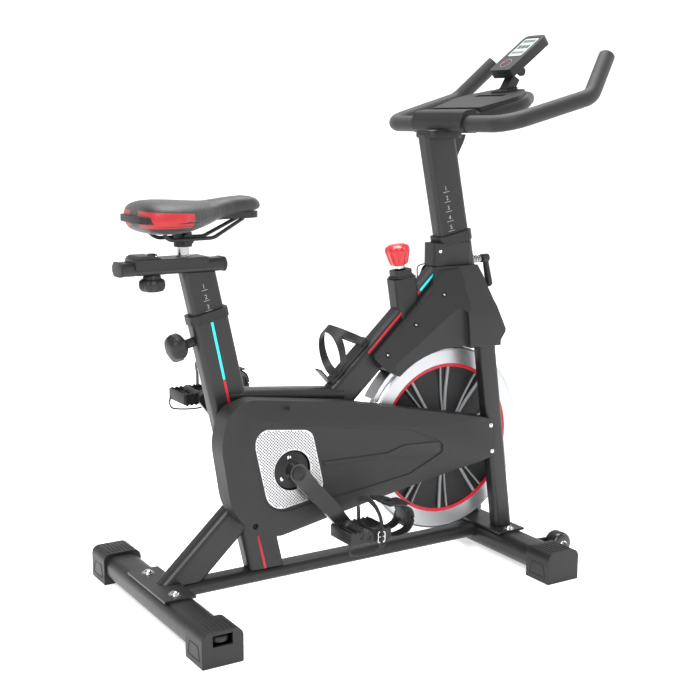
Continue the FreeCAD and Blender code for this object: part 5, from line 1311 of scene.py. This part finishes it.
@dataclass
class Flywheel:
    """Turned flywheel with a bright rim, a red ring and double spokes."""

    x: float = WHEEL_X
    z: float = WHEEL_Z
    radius: float = 199.0
    inner: float = 161.5
    half: float = 16.0

    def build(self) -> None:
        """Builds the wheel."""
        place = turned_to(at(self.x, 0, self.z), Y_AXIS)
        r, i, h = self.radius, self.inner, self.half
        rim = [(i, -h + 1), (i + 1, -h), (r - 8, -h), (r - 7.4, -h + 0.7), (r - 6.8, -h), (r - 5, -h),
               (r - 1, -h + 3.5),
               (r, -h + 5), (r, -2), (r - 0.7, 0), (r, 2), (r, h - 5), (r - 1, h - 3.5), (r - 5, h),
               (r - 6.8, h), (r - 7.4, h - 0.7), (r - 8, h), (i + 1, h), (i, h - 1)]
        piece = Shape().lathe(rim, place, 180).build("flywheel_rim", RIM, "flywheel_wheel", "rim_steel", 24)
        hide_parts("flywheel")
        red = Shape()
        for facing in (RIGHT, LEFT):
            red.lathe([(i - 6.5, h - 3), (i + 0.6, h - 3), (i + 0.6, h + 0.25), (i - 1, h + 0.35),
                       (i - 5, h - 0.4),
                       (i - 6.5, h - 1.4)], turned_to(at(self.x, 0, self.z), Y_AXIS * facing), 180)
        red.build("flywheel_ring", STRIPE_RED, "flywheel_wheel", "rim_steel")
        web = [(38, -9), (60, -10), (70, -6), (i - 14, -6), (i - 5, -12), (i + 2, -12), (i + 2, 12),
               (i - 5, 12), (i - 14, 6), (70, 6), (60, 10), (38, 9)]
        Shape().lathe(web, place, 120).build("flywheel_disc", COVER_BLACK, "flywheel_wheel", "rim_steel")
        resurfaced("flywheel_hub", STEEL)
        spoke = Shape()
        for shift, wide in ((-7.0, 3.2), (5.0, 6.0)):
            for facing in (RIGHT, LEFT):
                ends = [at(shift * 0.45, facing * 10.5, 60), at(shift, facing * 8.2, 100),
                        at(shift * 1.7, facing * 11.5,
                                                                                           i - 6)]
                spoke.sweep(smooth_line(ends, 3), oblong(0, 0, wide, 5, 1.2)[::3], Y_AXIS)
        spoke.repeated("flywheel_spokes", SPOKE_GREY, "flywheel_wheel", "rim_steel", 10,
                       at(self.x, 0, self.z), axis=Y_AXIS, turn=36.0)


@dataclass(frozen=True)
class Stance:
    """Where one pedal's cage stands, in millimetres.

    Args:
        x: middle of the cage.
        z: height of the axle.
        side: RIGHT or LEFT.
        word: the side's name.
        half: half depth of the cage.
        inner: distance of its inner end from the bike's middle.
        wide: its width.
    """

    x: float
    z: float
    side: float
    word: str
    half: float = 46.0
    inner: float = 123.0
    wide: float = 78.0

    @property
    def body(self) -> str:
        """The CAD body of this pedal."""
        return f"{self.word}_pedal"

    @property
    def outer(self) -> float:
        """Distance of the outer end from the bike's middle."""
        return self.inner + self.wide

    @property
    def middle(self) -> float:
        """Distance of the cage's middle from the bike's middle."""
        return self.inner + self.wide / 2

    def spot(self, along: float, out: float, up: float) -> Vector:
        """A point from the cage's middle forward, from the bike's middle outward, and from the axle up."""
        return at(self.x + along, self.side * out, self.z + up)


@dataclass
class Cranks:
    """Crank arms, spider disc, pedals with toe clips."""

    x: float = -185.0
    z: float = 269.0
    length: float = 150.0
    angle: float = -50.5
    lead: float = 6.0

    def build(self) -> None:
        """Builds the crank set."""
        resurfaced("crank_axle", STEEL)
        resurfaced("drive_pulley", PANEL_BLACK)
        for side, word in ((RIGHT, "right"), (LEFT, "left")):
            resurfaced(f"crank_arm_{word}", ARM_BLACK, 26)
            cap = Shape().lathe([(0, -1), (13.5, -1), (14.2, 0), (14.2, 2.2), (12.8, 3.4), (11, 3.6),
                                 (10.4, 3.0), (8, 3.6),
                                 (0, 4.4)], turned_to(at(self.x, side * 100, self.z), Y_AXIS * side), 48)
            cap.build(f"crank_cap_{word}", TRIM_BLACK, "crank", "trim_plastic")
            self.pedal(side, word)
        disc = Shape().lathe([(0, 0), (37.6, 0), (37.6, 5), (35.6, 6.4), (24, 6.4), (20, 9), (16, 12),
                              (0, 12)],
                             turned_to(at(self.x, -66, self.z), -Y_AXIS), 64)
        disc.build("crank_disc", PANEL_BLACK, "crank", "trim_plastic")
        bolts = Shape()
        for turn in (105, 212, 320):
            a = math.radians(turn)
            bolts.lathe(dome(5.2, 4), turned_to(at(self.x + 27 * math.cos(a), -72.4,
                                                   self.z + 27 * math.sin(a)), -Y_AXIS), 28)
        bolts.build("crank_disc_bolts", CHROME, "crank", "bright_steel")

    def pedal(self, side: float, word: str) -> None:
        """One pedal, drawn from its inner end outward.

        Args:
            side: RIGHT or LEFT.
            word: the side's name.
        """
        turn = math.radians(self.angle + (0 if side < 0 else 180))
        axle_x, axle_z = self.x + self.length * math.cos(turn), self.z + self.length * math.sin(turn)
        place = Stance(axle_x + self.lead, axle_z, side, word)
        half, wide, inner = place.half, place.wide, place.inner
        cage = Shape()
        teeth = self._toothed(half, 13.0)
        for y in (inner + 1, inner + wide - 5):
            cage.prism(teeth, 0.004, axes(place.spot(0, y, 0), X_AXIS, Z_AXIS), 0.0005, 1, low=-0.002)
        bars = [(x, at(4, wide - 4, 22)) for x in (-half + 2, half - 2)]
        bars += [(x, at(5, wide - 6, 7)) for x in (-22, 22)]
        for x, size in bars:
            cage.box(size, Matrix.Translation(place.spot(x, place.middle, 0)), 0.001)
        sleeve = [(5.2, 1), (14, 1), (14, 10), (10.5, 14), (10.5, wide - 16), (14, wide - 12), (14, wide - 4),
                  (12, wide - 1), (5.2, wide - 1)]
        cage.lathe(sleeve, turned_to(at(axle_x, side * inner, axle_z), Y_AXIS * side), 32)
        piece = cage.build(f"pedal_cage_{word}", TRIM_BLACK, place.body, "trim_plastic")
        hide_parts(f"pedal_{word}")
        self.toe_clip(place)
        self.strap(place)
        self.guard(place)

    def _toothed(self, half: float, tall: float) -> list[Point]:
        """Outline of a cage plate with teeth along its top and foot edges."""
        top, count = [], 9
        for index in range(count):
            x = -half + 6 + index * (2 * half - 12) / (count - 1)
            top += [(x - 3.4, tall - 3), (x - 1.4, tall), (x + 1.4, tall), (x + 3.4, tall - 3)]
        upper = [(mm(x), mm(z)) for x, z in top]
        lower = [(x, -z) for x, z in reversed(upper)]
        return upper[::-1] + lower[::-1]

    def toe_clip(self, place: Stance) -> None:
        """The open basket in front of a pedal."""
        clip = Shape()
        half, inset, drawn = place.half, 14, 4
        route = [(half - 2, -8), (half + 22, -11), (half + 46, -4), (half + 56, 16), (half + 50, 38),
                 (half + 26, 50), (half - 4, 54)]
        for y, shift in ((place.inner + inset, drawn), (place.outer - inset, -drawn)):
            line = smooth_line([place.spot(a, y + (0 if a < half + 20 else shift), b) for a, b in route], 6)
            clip.sweep(line, oblong(0, 0, 24, 3.2, 1.2), Y_AXIS.cross(X_AXIS))
        for a, b, deep, tall in ((half + 54.5, 14, 4, 40), (half + 36, 46, 34, 3.4), (half + 4, -9.5, 12, 4),
                                 (half + 2, 53.5, 14, 3.2)):
            clip.box(at(deep, place.wide - 30, tall), Matrix.Translation(place.spot(a, place.middle, b)),
                     0.0012)
        clip.build(f"toe_clip_{place.word}", TRIM_BLACK, place.body, "trim_plastic")

    def strap(self, place: Stance) -> None:
        """The strap over the foot, with its buckle on the outer side."""
        along = 66 - place.half
        out, inn, mid = place.outer + 1.4, place.inner - 0.6, place.middle
        route = [(out, -30), (out + 0.4, 0), (out, 30), (out - 8, 54), (mid + 8, 63), (mid - 12, 62),
                 (inn + 8, 52), (inn, 30), (inn, 4)]
        line = smooth_line([place.spot(along - (6 if z > 40 else 0), y, z) for y, z in route], 8)
        band = Shape().sweep(line, oblong(0, 0, 12, 1.6, 0.6), X_AXIS)
        band.build(f"toe_strap_{place.word}", BAR_RUBBER, place.body, "trim_plastic")
        centre = place.spot(along, out + 1.8, 0)
        ring = [centre + Vector((a, 0, b)) for a, b in oblong(0, -2, 15, 21, 4)]
        buckle = Shape().tube(ring, 0.0014, Y_AXIS, 8, True)
        buckle.box(at(12, 2, 2), Matrix.Translation(place.spot(along, out + 2, -1)), 0.0006)
        buckle.build(f"strap_buckle_{place.word}", CHROME, place.body, "bright_steel")

    def guard(self, place: Stance) -> None:
        """The bent wire below a pedal."""
        half, outer = place.half, place.outer
        bends = [(1 - half, -6, -6), (-half, -6, -24), (12 - half, -8, -33), (12, -14, -36),
                 (half - 12, -14, -28), (half - 2, -10, -8)]
        wire = smooth_line([place.spot(a, outer + y, b) for a, y, b in bends], 7)
        Shape().tube(wire, 0.0018, Y_AXIS, 10).build(f"pedal_guard_{place.word}", TRIM_BLACK, place.body,
                                                     "trim_plastic")


@dataclass
class Seat:
    """Seat post with its scale, the rail, the carriage, the knobs and the saddle."""

    post_half: float = 16.5
    pin_z: float = 534.0
    pin_reach: float = 38.0
    saddle_voxel: float = 5.0
    panel_gap: float = 18.0
    panel_top: float = 749.5
    panel_fall: float = -0.056
    panel_foot: float = 746.0
    panel_front: float = -382.0
    pressure: float = 0.8
    swell: float = 1.5

    def build(self) -> None:
        """Builds the seat group."""
        resurfaced("seat_post", POWDER_BLACK)
        resurfaced("seat_rail", POWDER_BLACK)
        resurfaced("saddle_carriage", POWDER_BLACK)
        resurfaced("saddle_clamp", TRIM_BLACK, 26)
        resurfaced("saddle_base", TRIM_BLACK, 30)
        self.scale()
        self.rail_details()
        self.knobs()
        self.cushion()

    def scale(self) -> None:
        """Height marks and figures on the seat post."""
        along, up = leaning(SEAT_LEAN)
        for index, z in enumerate((585, 604, 624)):
            x = SEAT_FOOT_X - (z - SEAT_FOOT_Z) * math.tan(SEAT_LEAN)
            spot = at(x, -self.post_half - 0.05, z)
            figure(str(3 - index), 0.0085, axes(spot + up * 0.007, along, up), f"seat_mark_{index + 1}",
                   PRINT_WHITE, "seat")
            Shape().box(at(13, 0.3, 1.1), axes(spot, along, Y_AXIS), 0.0001, 1).build(
                f"seat_tick_{index + 1}", PRINT_WHITE, "seat", "frame_paint")

    def rail_details(self) -> None:
        """End plugs of the rail, the chrome stem and the carriage screw."""
        low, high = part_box("seat_rail")
        middle_z = (low.z + high.z) / 2
        plugs = Shape()
        for x, facing in ((low.x, -1), (high.x, 1)):
            outline = oblong(0, 0, (high.y - low.y) * 1000 + 1.4, (high.z - low.z) * 1000 + 1.4, 8)
            place = axes(Vector((x - facing * mm(3), 0, middle_z)), Y_AXIS, Z_AXIS)
            if facing < 0:
                place = axes(Vector((x + mm(3), 0, middle_z)), -Y_AXIS, Z_AXIS)
            plugs.prism(outline, 0.0062, place, 0.0028, 4)
        plugs.build("rail_plugs", TRIM_BLACK, "seat", "trim_plastic")
        stem = Shape().lathe([(0, 0), (13, 0), (13, 2), (11.3, 3), (11.3, 26), (0, 26)],
                             turned_to(at(-373, 0, 688), Z_AXIS), 40)
        stem.build("saddle_stem_skin", CHROME, "carriage", "bright_steel")
        screw = Shape().lathe(dome(12, 6.5), turned_to(at(-436, 0, 690.5), Z_AXIS), 36)
        screw.build("carriage_screw", CHROME, "carriage", "bright_steel")
        bump = Shape().prism(rounded([(-478, 676, 3), (-424, 676, 3), (-424, 688, 4), (-440, 694, 10),
                                      (-470, 694, 12),
                                      (-479, 688, 6)], 6), 0.047, side_plane(0), 0.003, 3, low=-0.0235)
        bump.build("carriage_hump", POWDER_BLACK, "carriage", "frame_paint")

    def knobs(self) -> None:
        """Fluted carriage knob and the pin's pull knob."""
        profile = [(10, 2), (15, 1.5), (17, -2), (17.5, -6), (23, -9), (25, -12), (25.4, -17), (24.6, -23),
                   (21, -28), (14, -30.4), (0, -31)]
        knob = Shape().lathe([(0, 2)] + profile, turned_to(at(-436, 0, 656.5), Z_AXIS), 96, lobes(8, 0.10))
        piece = knob.build("carriage_knob_skin", TRIM_BLACK, "rail_knob", "trim_plastic", 50)
        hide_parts("carriage_knob")
        low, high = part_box("seat_pin")
        direction = -leaning(SEAT_LEAN)[0]
        x = SEAT_FOOT_X - (self.pin_z - SEAT_FOOT_Z) * math.tan(SEAT_LEAN)
        start = at(x, 0, self.pin_z) + direction * mm(self.pin_reach)
        radius = (high.y - low.y) * 500
        shape = [(0, 1), (9, 1), (9, 16), (12, 18), (radius * 0.62, 20), (radius * 0.82, 24), (radius, 30),
                 (radius, 42), (radius * 0.9, 49), (radius * 0.6, 53), (0, 54)]
        pull = Shape().lathe(shape, turned_to(start, direction), 96,
                             lambda a, r, h: 1 - (0.09 * (0.5 - 0.5 * math.cos(6 * a)) if h > 19 else 0))
        piece = pull.build("seat_pin_skin", TRIM_BLACK, "post_pin", "trim_plastic", 50)
        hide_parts("seat_pin")

    def cushion(self) -> None:
        """The padded saddle: a crowned form, swollen a little as cloth, with red side panels."""
        rows = [(-468, 40, 752, 780), (-466, 58, 746, 784), (-459, 72, 737, 789), (-446, 80, 733, 792),
                (-425, 83.5, 732, 792),
                (-400, 81, 733, 791), (-376, 74, 736, 789.5), (-352, 62, 742, 788), (-330, 48, 748, 787),
                (-305, 36, 757, 790),
                (-280, 30, 761, 793), (-255, 27, 764, 795), (-236, 24.5, 766, 794.5), (-222, 19, 768, 790),
                (-215, 11, 771, 784)]
        rings = []
        for x, half, low, high in rows:
            ring = []
            middle, tall = (low + high) / 2, (high - low) / 2
            for step in range(40):
                angle = 2 * math.pi * step / 40
                c, s = math.cos(angle), math.sin(angle)
                y = half * math.copysign(abs(c) ** 0.62, c)
                z = middle + tall * math.copysign(abs(s) ** (0.62 if s > 0 else 0.5), s)
                if s < 0:
                    y *= 0.93
                z -= 3.5 * (y / max(half, 1)) ** 2 if s > 0 else 0
                ring.append(at(x, y, z))
            rings.append(ring)
        material = self._two_tone()
        piece = Shape().loft(rings).build("saddle_pad", LEATHER, "saddle", ride=False, crease=180)
        remesh = piece.modifiers.new("even", "REMESH")
        remesh.mode, remesh.voxel_size = "VOXEL", mm(self.saddle_voxel)
        self._apply(piece)
        self._swell(piece)
        relax = piece.modifiers.new("relax", "SMOOTH")
        relax.factor, relax.iterations = 0.5, 6
        fine = piece.modifiers.new("fine", "SUBSURF")
        fine.levels = fine.render_levels = 1
        self._apply(piece)
        piece.data.materials.clear()
        piece.data.materials.append(material)
        piece.data.shade_smooth()
        settle(piece, "saddle")
        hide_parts("saddle_cushion")
        self.seams(piece)

    def _apply(self, piece: bpy.types.Object) -> None:
        """Turns a piece's modifiers into plain mesh."""
        bpy.context.view_layer.update()
        mesh = bpy.data.meshes.new_from_object(piece.evaluated_get(bpy.context.evaluated_depsgraph_get()))
        piece.modifiers.clear()
        piece.data = mesh

    def _swell(self, piece: bpy.types.Object) -> None:
        """Lets the pad swell as cloth under a little pressure, each point by a capped distance."""
        rest = np.array([v.co for v in piece.data.vertices])
        cloth = piece.modifiers.new("cloth", "CLOTH")
        cloth.settings.use_pressure = True
        cloth.settings.uniform_pressure_force = self.pressure
        cloth.settings.effector_weights.gravity = 0.0
        cloth.point_cache.frame_start, cloth.point_cache.frame_end = 1, 20
        for step in range(1, 21):
            bpy.context.scene.frame_set(step)
        graph = bpy.context.evaluated_depsgraph_get()
        mesh = bpy.data.meshes.new_from_object(piece.evaluated_get(graph))
        piece.modifiers.clear()
        moved = np.array([v.co for v in mesh.vertices]) - rest
        length = np.linalg.norm(moved, axis=1, keepdims=True)
        cap = mm(self.swell)
        moved *= np.minimum(1.0, cap / np.maximum(length, 1e-9))
        mesh.vertices.foreach_set("co", (rest + moved).ravel())
        piece.data = mesh
        bpy.context.scene.frame_set(1)

    def _two_tone(self) -> bpy.types.Material:
        """Black leather with red side panels, told apart by the place on the pad."""
        material = SHOP.material(LEATHER).copy()
        material.name = "saddle_two_tone"
        sheet = NodeSheet(material.node_tree)
        mask = self._panel_group()
        node = sheet.add("ShaderNodeGroup", node_tree=mask)
        # The edge mix lightens edges for rubbed wear and a painted highlight; both of its colours get the two tones.
        wear_highlight_mix = next(n for n in sheet.tree.nodes if n.type == "MIX" and n.inputs[6].default_value[0] < 0.05
                    and not n.inputs[6].is_linked)
        tone = sheet.add("ShaderNodeMix", {0: node.outputs["Mask"], 6: (*LEATHER.color, 1.0),
                                           7: (*LEATHER_RED.color, 1.0)}, data_type="RGBA")
        sheet.tree.links.new(tone.outputs[2], wear_highlight_mix.inputs[6])
        sheet.tree.links.new(tone.outputs[2], wear_highlight_mix.inputs[7])
        return material

    def _panel_group(self) -> bpy.types.NodeTree:
        """The mask of the red panels, from Object coordinates."""
        sheet = SHOP.group("Side panels")
        sheet.socket("Mask", "Float", out=True)
        coords = sheet.add("ShaderNodeTexCoord").outputs["Object"]
        parts = sheet.add("ShaderNodeSeparateXYZ", {0: coords}).outputs
        x, y, z = parts
        away = sheet.math("ABSOLUTE", y)
        side = sheet.math("GREATER_THAN", away, mm(self.panel_gap))
        slant = sheet.math("MULTIPLY_ADD", x, self.panel_fall, mm(self.panel_top))
        below = sheet.math("LESS_THAN", z, slant)
        above = sheet.math("GREATER_THAN", z, mm(self.panel_foot))
        front = sheet.math("LESS_THAN", x, mm(self.panel_front))
        pad = sheet.math("MULTIPLY", sheet.math("MULTIPLY", side, below),
                         sheet.math("MULTIPLY", above, front))
        sheet.add("NodeGroupOutput", {"Mask": pad})
        return sheet.tree

    def seams(self, pad: bpy.types.Object) -> None:
        """Stitched seam along the red side panels, laid on the pad's surface."""
        for side, word in ((RIGHT, "right"), (LEFT, "left")):
            points = []
            for step in range(45):
                x = -455 + step * 72 / 44
                origin = at(x, side * 140, 748.5)
                hit, spot, normal, _ = pad.ray_cast(origin, Vector((0, -side, 0)))
                if hit:
                    points.append(spot + normal * 0.0002)
            mesh = bpy.data.meshes.new("seam")
            mesh.from_pydata([tuple(p) for p in points], [(i, i + 1) for i in range(len(points) - 1)], [])
            seam = bpy.data.objects.new(f"saddle_stitches_{word}", mesh)
            bpy.context.scene.collection.objects.link(seam)
            STITCH.apply(seam, THREAD, Spacing=0.0042, Length=0.0030, Thread=0.00045)
            settle(seam, "saddle")


@dataclass
class Bars:
    """Handlebar, its post with the scale, the arm loop, tray and console."""

    loop_start: float = 243.0
    loop_side: float = 68.0
    loop_depth: float = 0.90
    loop_spread: float = 0.67
    console_lean: float = 36.8
    mark_count: int = 5
    mark_low: float = 709.0
    mark_pitch: float = 20.0

    def build(self) -> None:
        """Builds the bars."""
        resurfaced("handlebar_post", POWDER_BLACK)
        resurfaced("handlebar", BAR_RUBBER, 60)
        self.bracket()
        self.drawn_in(resurfaced("arm_loop", BAR_RUBBER, 60))
        self.drawn_in(resurfaced("media_tray", TRIM_BLACK, 26))
        resurfaced("console_mount", TRIM_BLACK, 26)
        resurfaced("console_housing", TRIM_BLACK, 26)
        self.scale()
        self.console()
        self.lever()
        self.brake()

    def bracket(self) -> None:
        """The moulded clamp around the bar and its foot on the post."""
        section = [(193, 909, 10), (243, 909, 10), (247, 935, 10), (239, 957, 10), (203, 953, 14),
                   (193, 931, 8)]
        shell = Shape().prism(rounded(section), mm(170), side_plane(0), 0.009, 4, low=mm(-85))
        shell.prism(oblong(204.5, 0, 85, 60, 14), mm(16), Matrix.Identity(4), 0.004, 3, low=mm(899))
        piece = shell.build("bar_bracket_shell", TRIM_BLACK, frame["nodes"]["bar_bracket"]["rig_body"],
                            "trim_plastic", 26)
        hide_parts("bar_bracket")

    def drawn_in(self, piece: bpy.types.Object) -> None:
        """Draws the front of a piece in towards the post and the middle.

        Args:
            piece: the loop or the tray, already a mesh of its own.
        """
        start, side = mm(self.loop_start), mm(self.loop_side)
        for vert in piece.data.vertices:
            if vert.co.x > start:
                vert.co.x = start + (vert.co.x - start) * self.loop_depth
            if abs(vert.co.y) > side:
                vert.co.y = math.copysign(side + (abs(vert.co.y) - side) * self.loop_spread, vert.co.y)

    def scale(self) -> None:
        """Height marks and figures on the handlebar post."""
        along, up = leaning(BAR_LEAN)
        for index in range(self.mark_count):
            z = self.mark_low + self.mark_pitch * index
            spot = at(242.5 + (684 - z) * 0.2016 - 9, -18.55, z)
            figure(str(self.mark_count - index), 0.009, axes(spot + up * 0.0075, along, up), f"bar_mark_{index + 1}",
                   PRINT_WHITE, "bars")
            Shape().box(at(16, 0.3, 1.1), axes(spot, along, Y_AXIS), 0.0001, 1).build(
                f"bar_tick_{index + 1}", PRINT_WHITE, "bars", "frame_paint")

    def console(self) -> None:
        """Screen, its blocks in place of digits, and the button with its ring."""
        along, normal = leaning(math.radians(self.console_lean))
        middle = at(405, 0, 1074)
        top = axes(middle, -Y_AXIS, along)
        if (top.to_3x3() @ Z_AXIS).dot(normal) < 0:
            top = axes(middle, Y_AXIS, along)
        glass = Shape().prism(oblong(0, 19, 44, 62, 4), 0.0012, top, 0.0003, 1, low=-0.0009)
        glass.build("console_screen", SCREEN, "console", "trim_plastic")
        marks = Shape()
        for row, (count, wide, tall) in enumerate(((4, 7, 9), (3, 10, 12), (5, 5, 7))):
            for index in range(count):
                x = (index - (count - 1) / 2) * (37 / count)
                marks.prism(oblong(x, 40 - row * 20, wide, tall, 1), 0.00025, top, low=0.0003)
        marks.build("console_figures", SEGMENT, "console", "trim_plastic")
        resurfaced("console_button", TRIM_BLACK, 26)
        ring = [top @ Vector((mm(13.2) * math.cos(a), mm(-38) + mm(13.2) * math.sin(a), 0.0004)) for a in
                [2 * math.pi * k / 48 for k in range(48)]]
        Shape().tube(ring, 0.0006, normal, 6, True).build("console_button_ring", PRINT_WHITE, "console",
                                                          "trim_plastic")
        icon = Shape()
        for a, b in ((0, 5), (0, -5), (5, 0), (-5, 0)):
            icon.prism(oblong(a, -38 + b, 3, 3, 1), 0.0012, top, low=0.0004)
        icon.build("console_button_icons", RED, "button", "red_plastic")

    def lever(self) -> None:
        """Clamping lever with its spring."""
        resurfaced("head_lever", TRIM_BLACK, 30)
        coil = [at(290 + 26 * k / 150, 8 * math.cos(k * 0.25),
                   645 + 8 * math.sin(k * 0.25)) for k in range(150)]
        Shape().tube(coil, 0.0012, Y_AXIS, 6).build("lever_spring", CHROME, "clamp_lever", "bright_steel")

    def brake(self) -> None:
        """Red tension knob on its bright rod, and the brake arm."""
        resurfaced("brake_rod", CHROME)
        resurfaced("brake_arm", STEEL)
        direction = leaning(BRAKE_LEAN)[1]
        low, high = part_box("brake_knob")
        middle = (low + high) / 2
        foot = Vector((middle.x, 0, middle.z)) - direction * mm(20.5)
        profile = [(0, 0), (17.5, 0), (19, 1.2), (21, 8), (24, 20), (25.8, 27), (26, 30), (25, 35),
                   (22.5, 37.6), (19, 38.6), (17.6, 40.2), (0, 41)]
        knob = Shape().lathe(profile, turned_to(foot, direction), 112,
                             lambda a, r, h: 1 - (0.10 * (0.5 - 0.5 * math.cos(7 * a)) ** 2
                                                  if 1 < h < 37 else 0.0))
        piece = knob.build("brake_knob_skin", RED, "tension_knob", "red_plastic", 50)
        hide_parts("brake_knob")


@dataclass
class Studio:
    """Floor, soft lights and camera."""

    surround: float = 0.5
    floor_glow: float = 0.55

    def build(self) -> None:
        """Builds what stands around the bike."""
        scene = bpy.context.scene
        world = bpy.data.worlds.new("studio")
        scene.world = world
        world.use_nodes = True
        world.node_tree.nodes["Background"].inputs[0].default_value = (1.0, 1.0, 1.0, 1.0)
        world.node_tree.nodes["Background"].inputs[1].default_value = self.surround
        scene.view_settings.view_transform = "Standard"
        sweep = [(0, 0), (11000, 0), (13000, 300), (14300, 1400), (15000, 4500)]
        floor = Shape().lathe(sweep, Matrix.Identity(4), 96).build("floor", PRINT_WHITE, "", ride=False)
        floor.location.z = -0.0005
        material = bpy.data.materials.new("floor_pale")
        material.use_nodes = True
        shader = material.node_tree.nodes["Principled BSDF"]
        shader.inputs["Base Color"].default_value = (0.93, 0.93, 0.93, 1.0)
        shader.inputs["Roughness"].default_value = 0.55
        shader.inputs["Emission Color"].default_value = (1.0, 1.0, 1.0, 1.0)
        shader.inputs["Emission Strength"].default_value = self.floor_glow
        floor.data.materials[0] = material
        for name, place, size, power in (("key", (-2.4, -2.2, 3.2), 2.2, 150.0),
                                         ("top", (0.4, 0.6, 3.4), 1.8, 150.0),
                                         ("front", (3.2, -1.4, 1.8), 1.6, 35.0)):
            data = bpy.data.lights.new(name, "AREA")
            data.size, data.energy = size, power
            lamp = bpy.data.objects.new(name, data)
            lamp.location = place
            lamp.rotation_euler = (Vector((0, 0, 0.5)) - lamp.location).to_track_quat("-Z", "Y").to_euler()
            scene.collection.objects.link(lamp)
        self.camera()

    def camera(self) -> None:
        """The camera at the bike's right rear quarter."""
        data = bpy.data.cameras.new("camera")
        data.lens, data.sensor_width = 64.155, 36.0
        data.shift_x, data.shift_y = 0.0396, 0.01154
        camera = bpy.data.objects.new("camera", data)
        camera.location = (-1.3148, -2.0718, 0.9351)
        aim = Vector((-0.0843, 0.0, 0.4781)) - camera.location
        camera.rotation_euler = aim.to_track_quat("-Z", "Y").to_euler()
        bpy.context.scene.collection.objects.link(camera)
        bpy.context.scene.camera = camera


def main() -> None:
    """Builds the sub-assemblies in order."""
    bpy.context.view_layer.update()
    for node in frame["nodes"].values():
        node.data.materials.clear()
        node.data.materials.append(SHOP.material(POWDER_BLACK))
    for assembly in (Base(), Frame(), BeltCover(), Shroud(), Flywheel(), Cranks(), Seat(), Bars(), Studio()):
        log.info("building %s", type(assembly).__name__)
        assembly.build()
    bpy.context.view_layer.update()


if __name__ == "__main__":
    logging.basicConfig(level=logging.INFO, format="%(message)s")
    main()
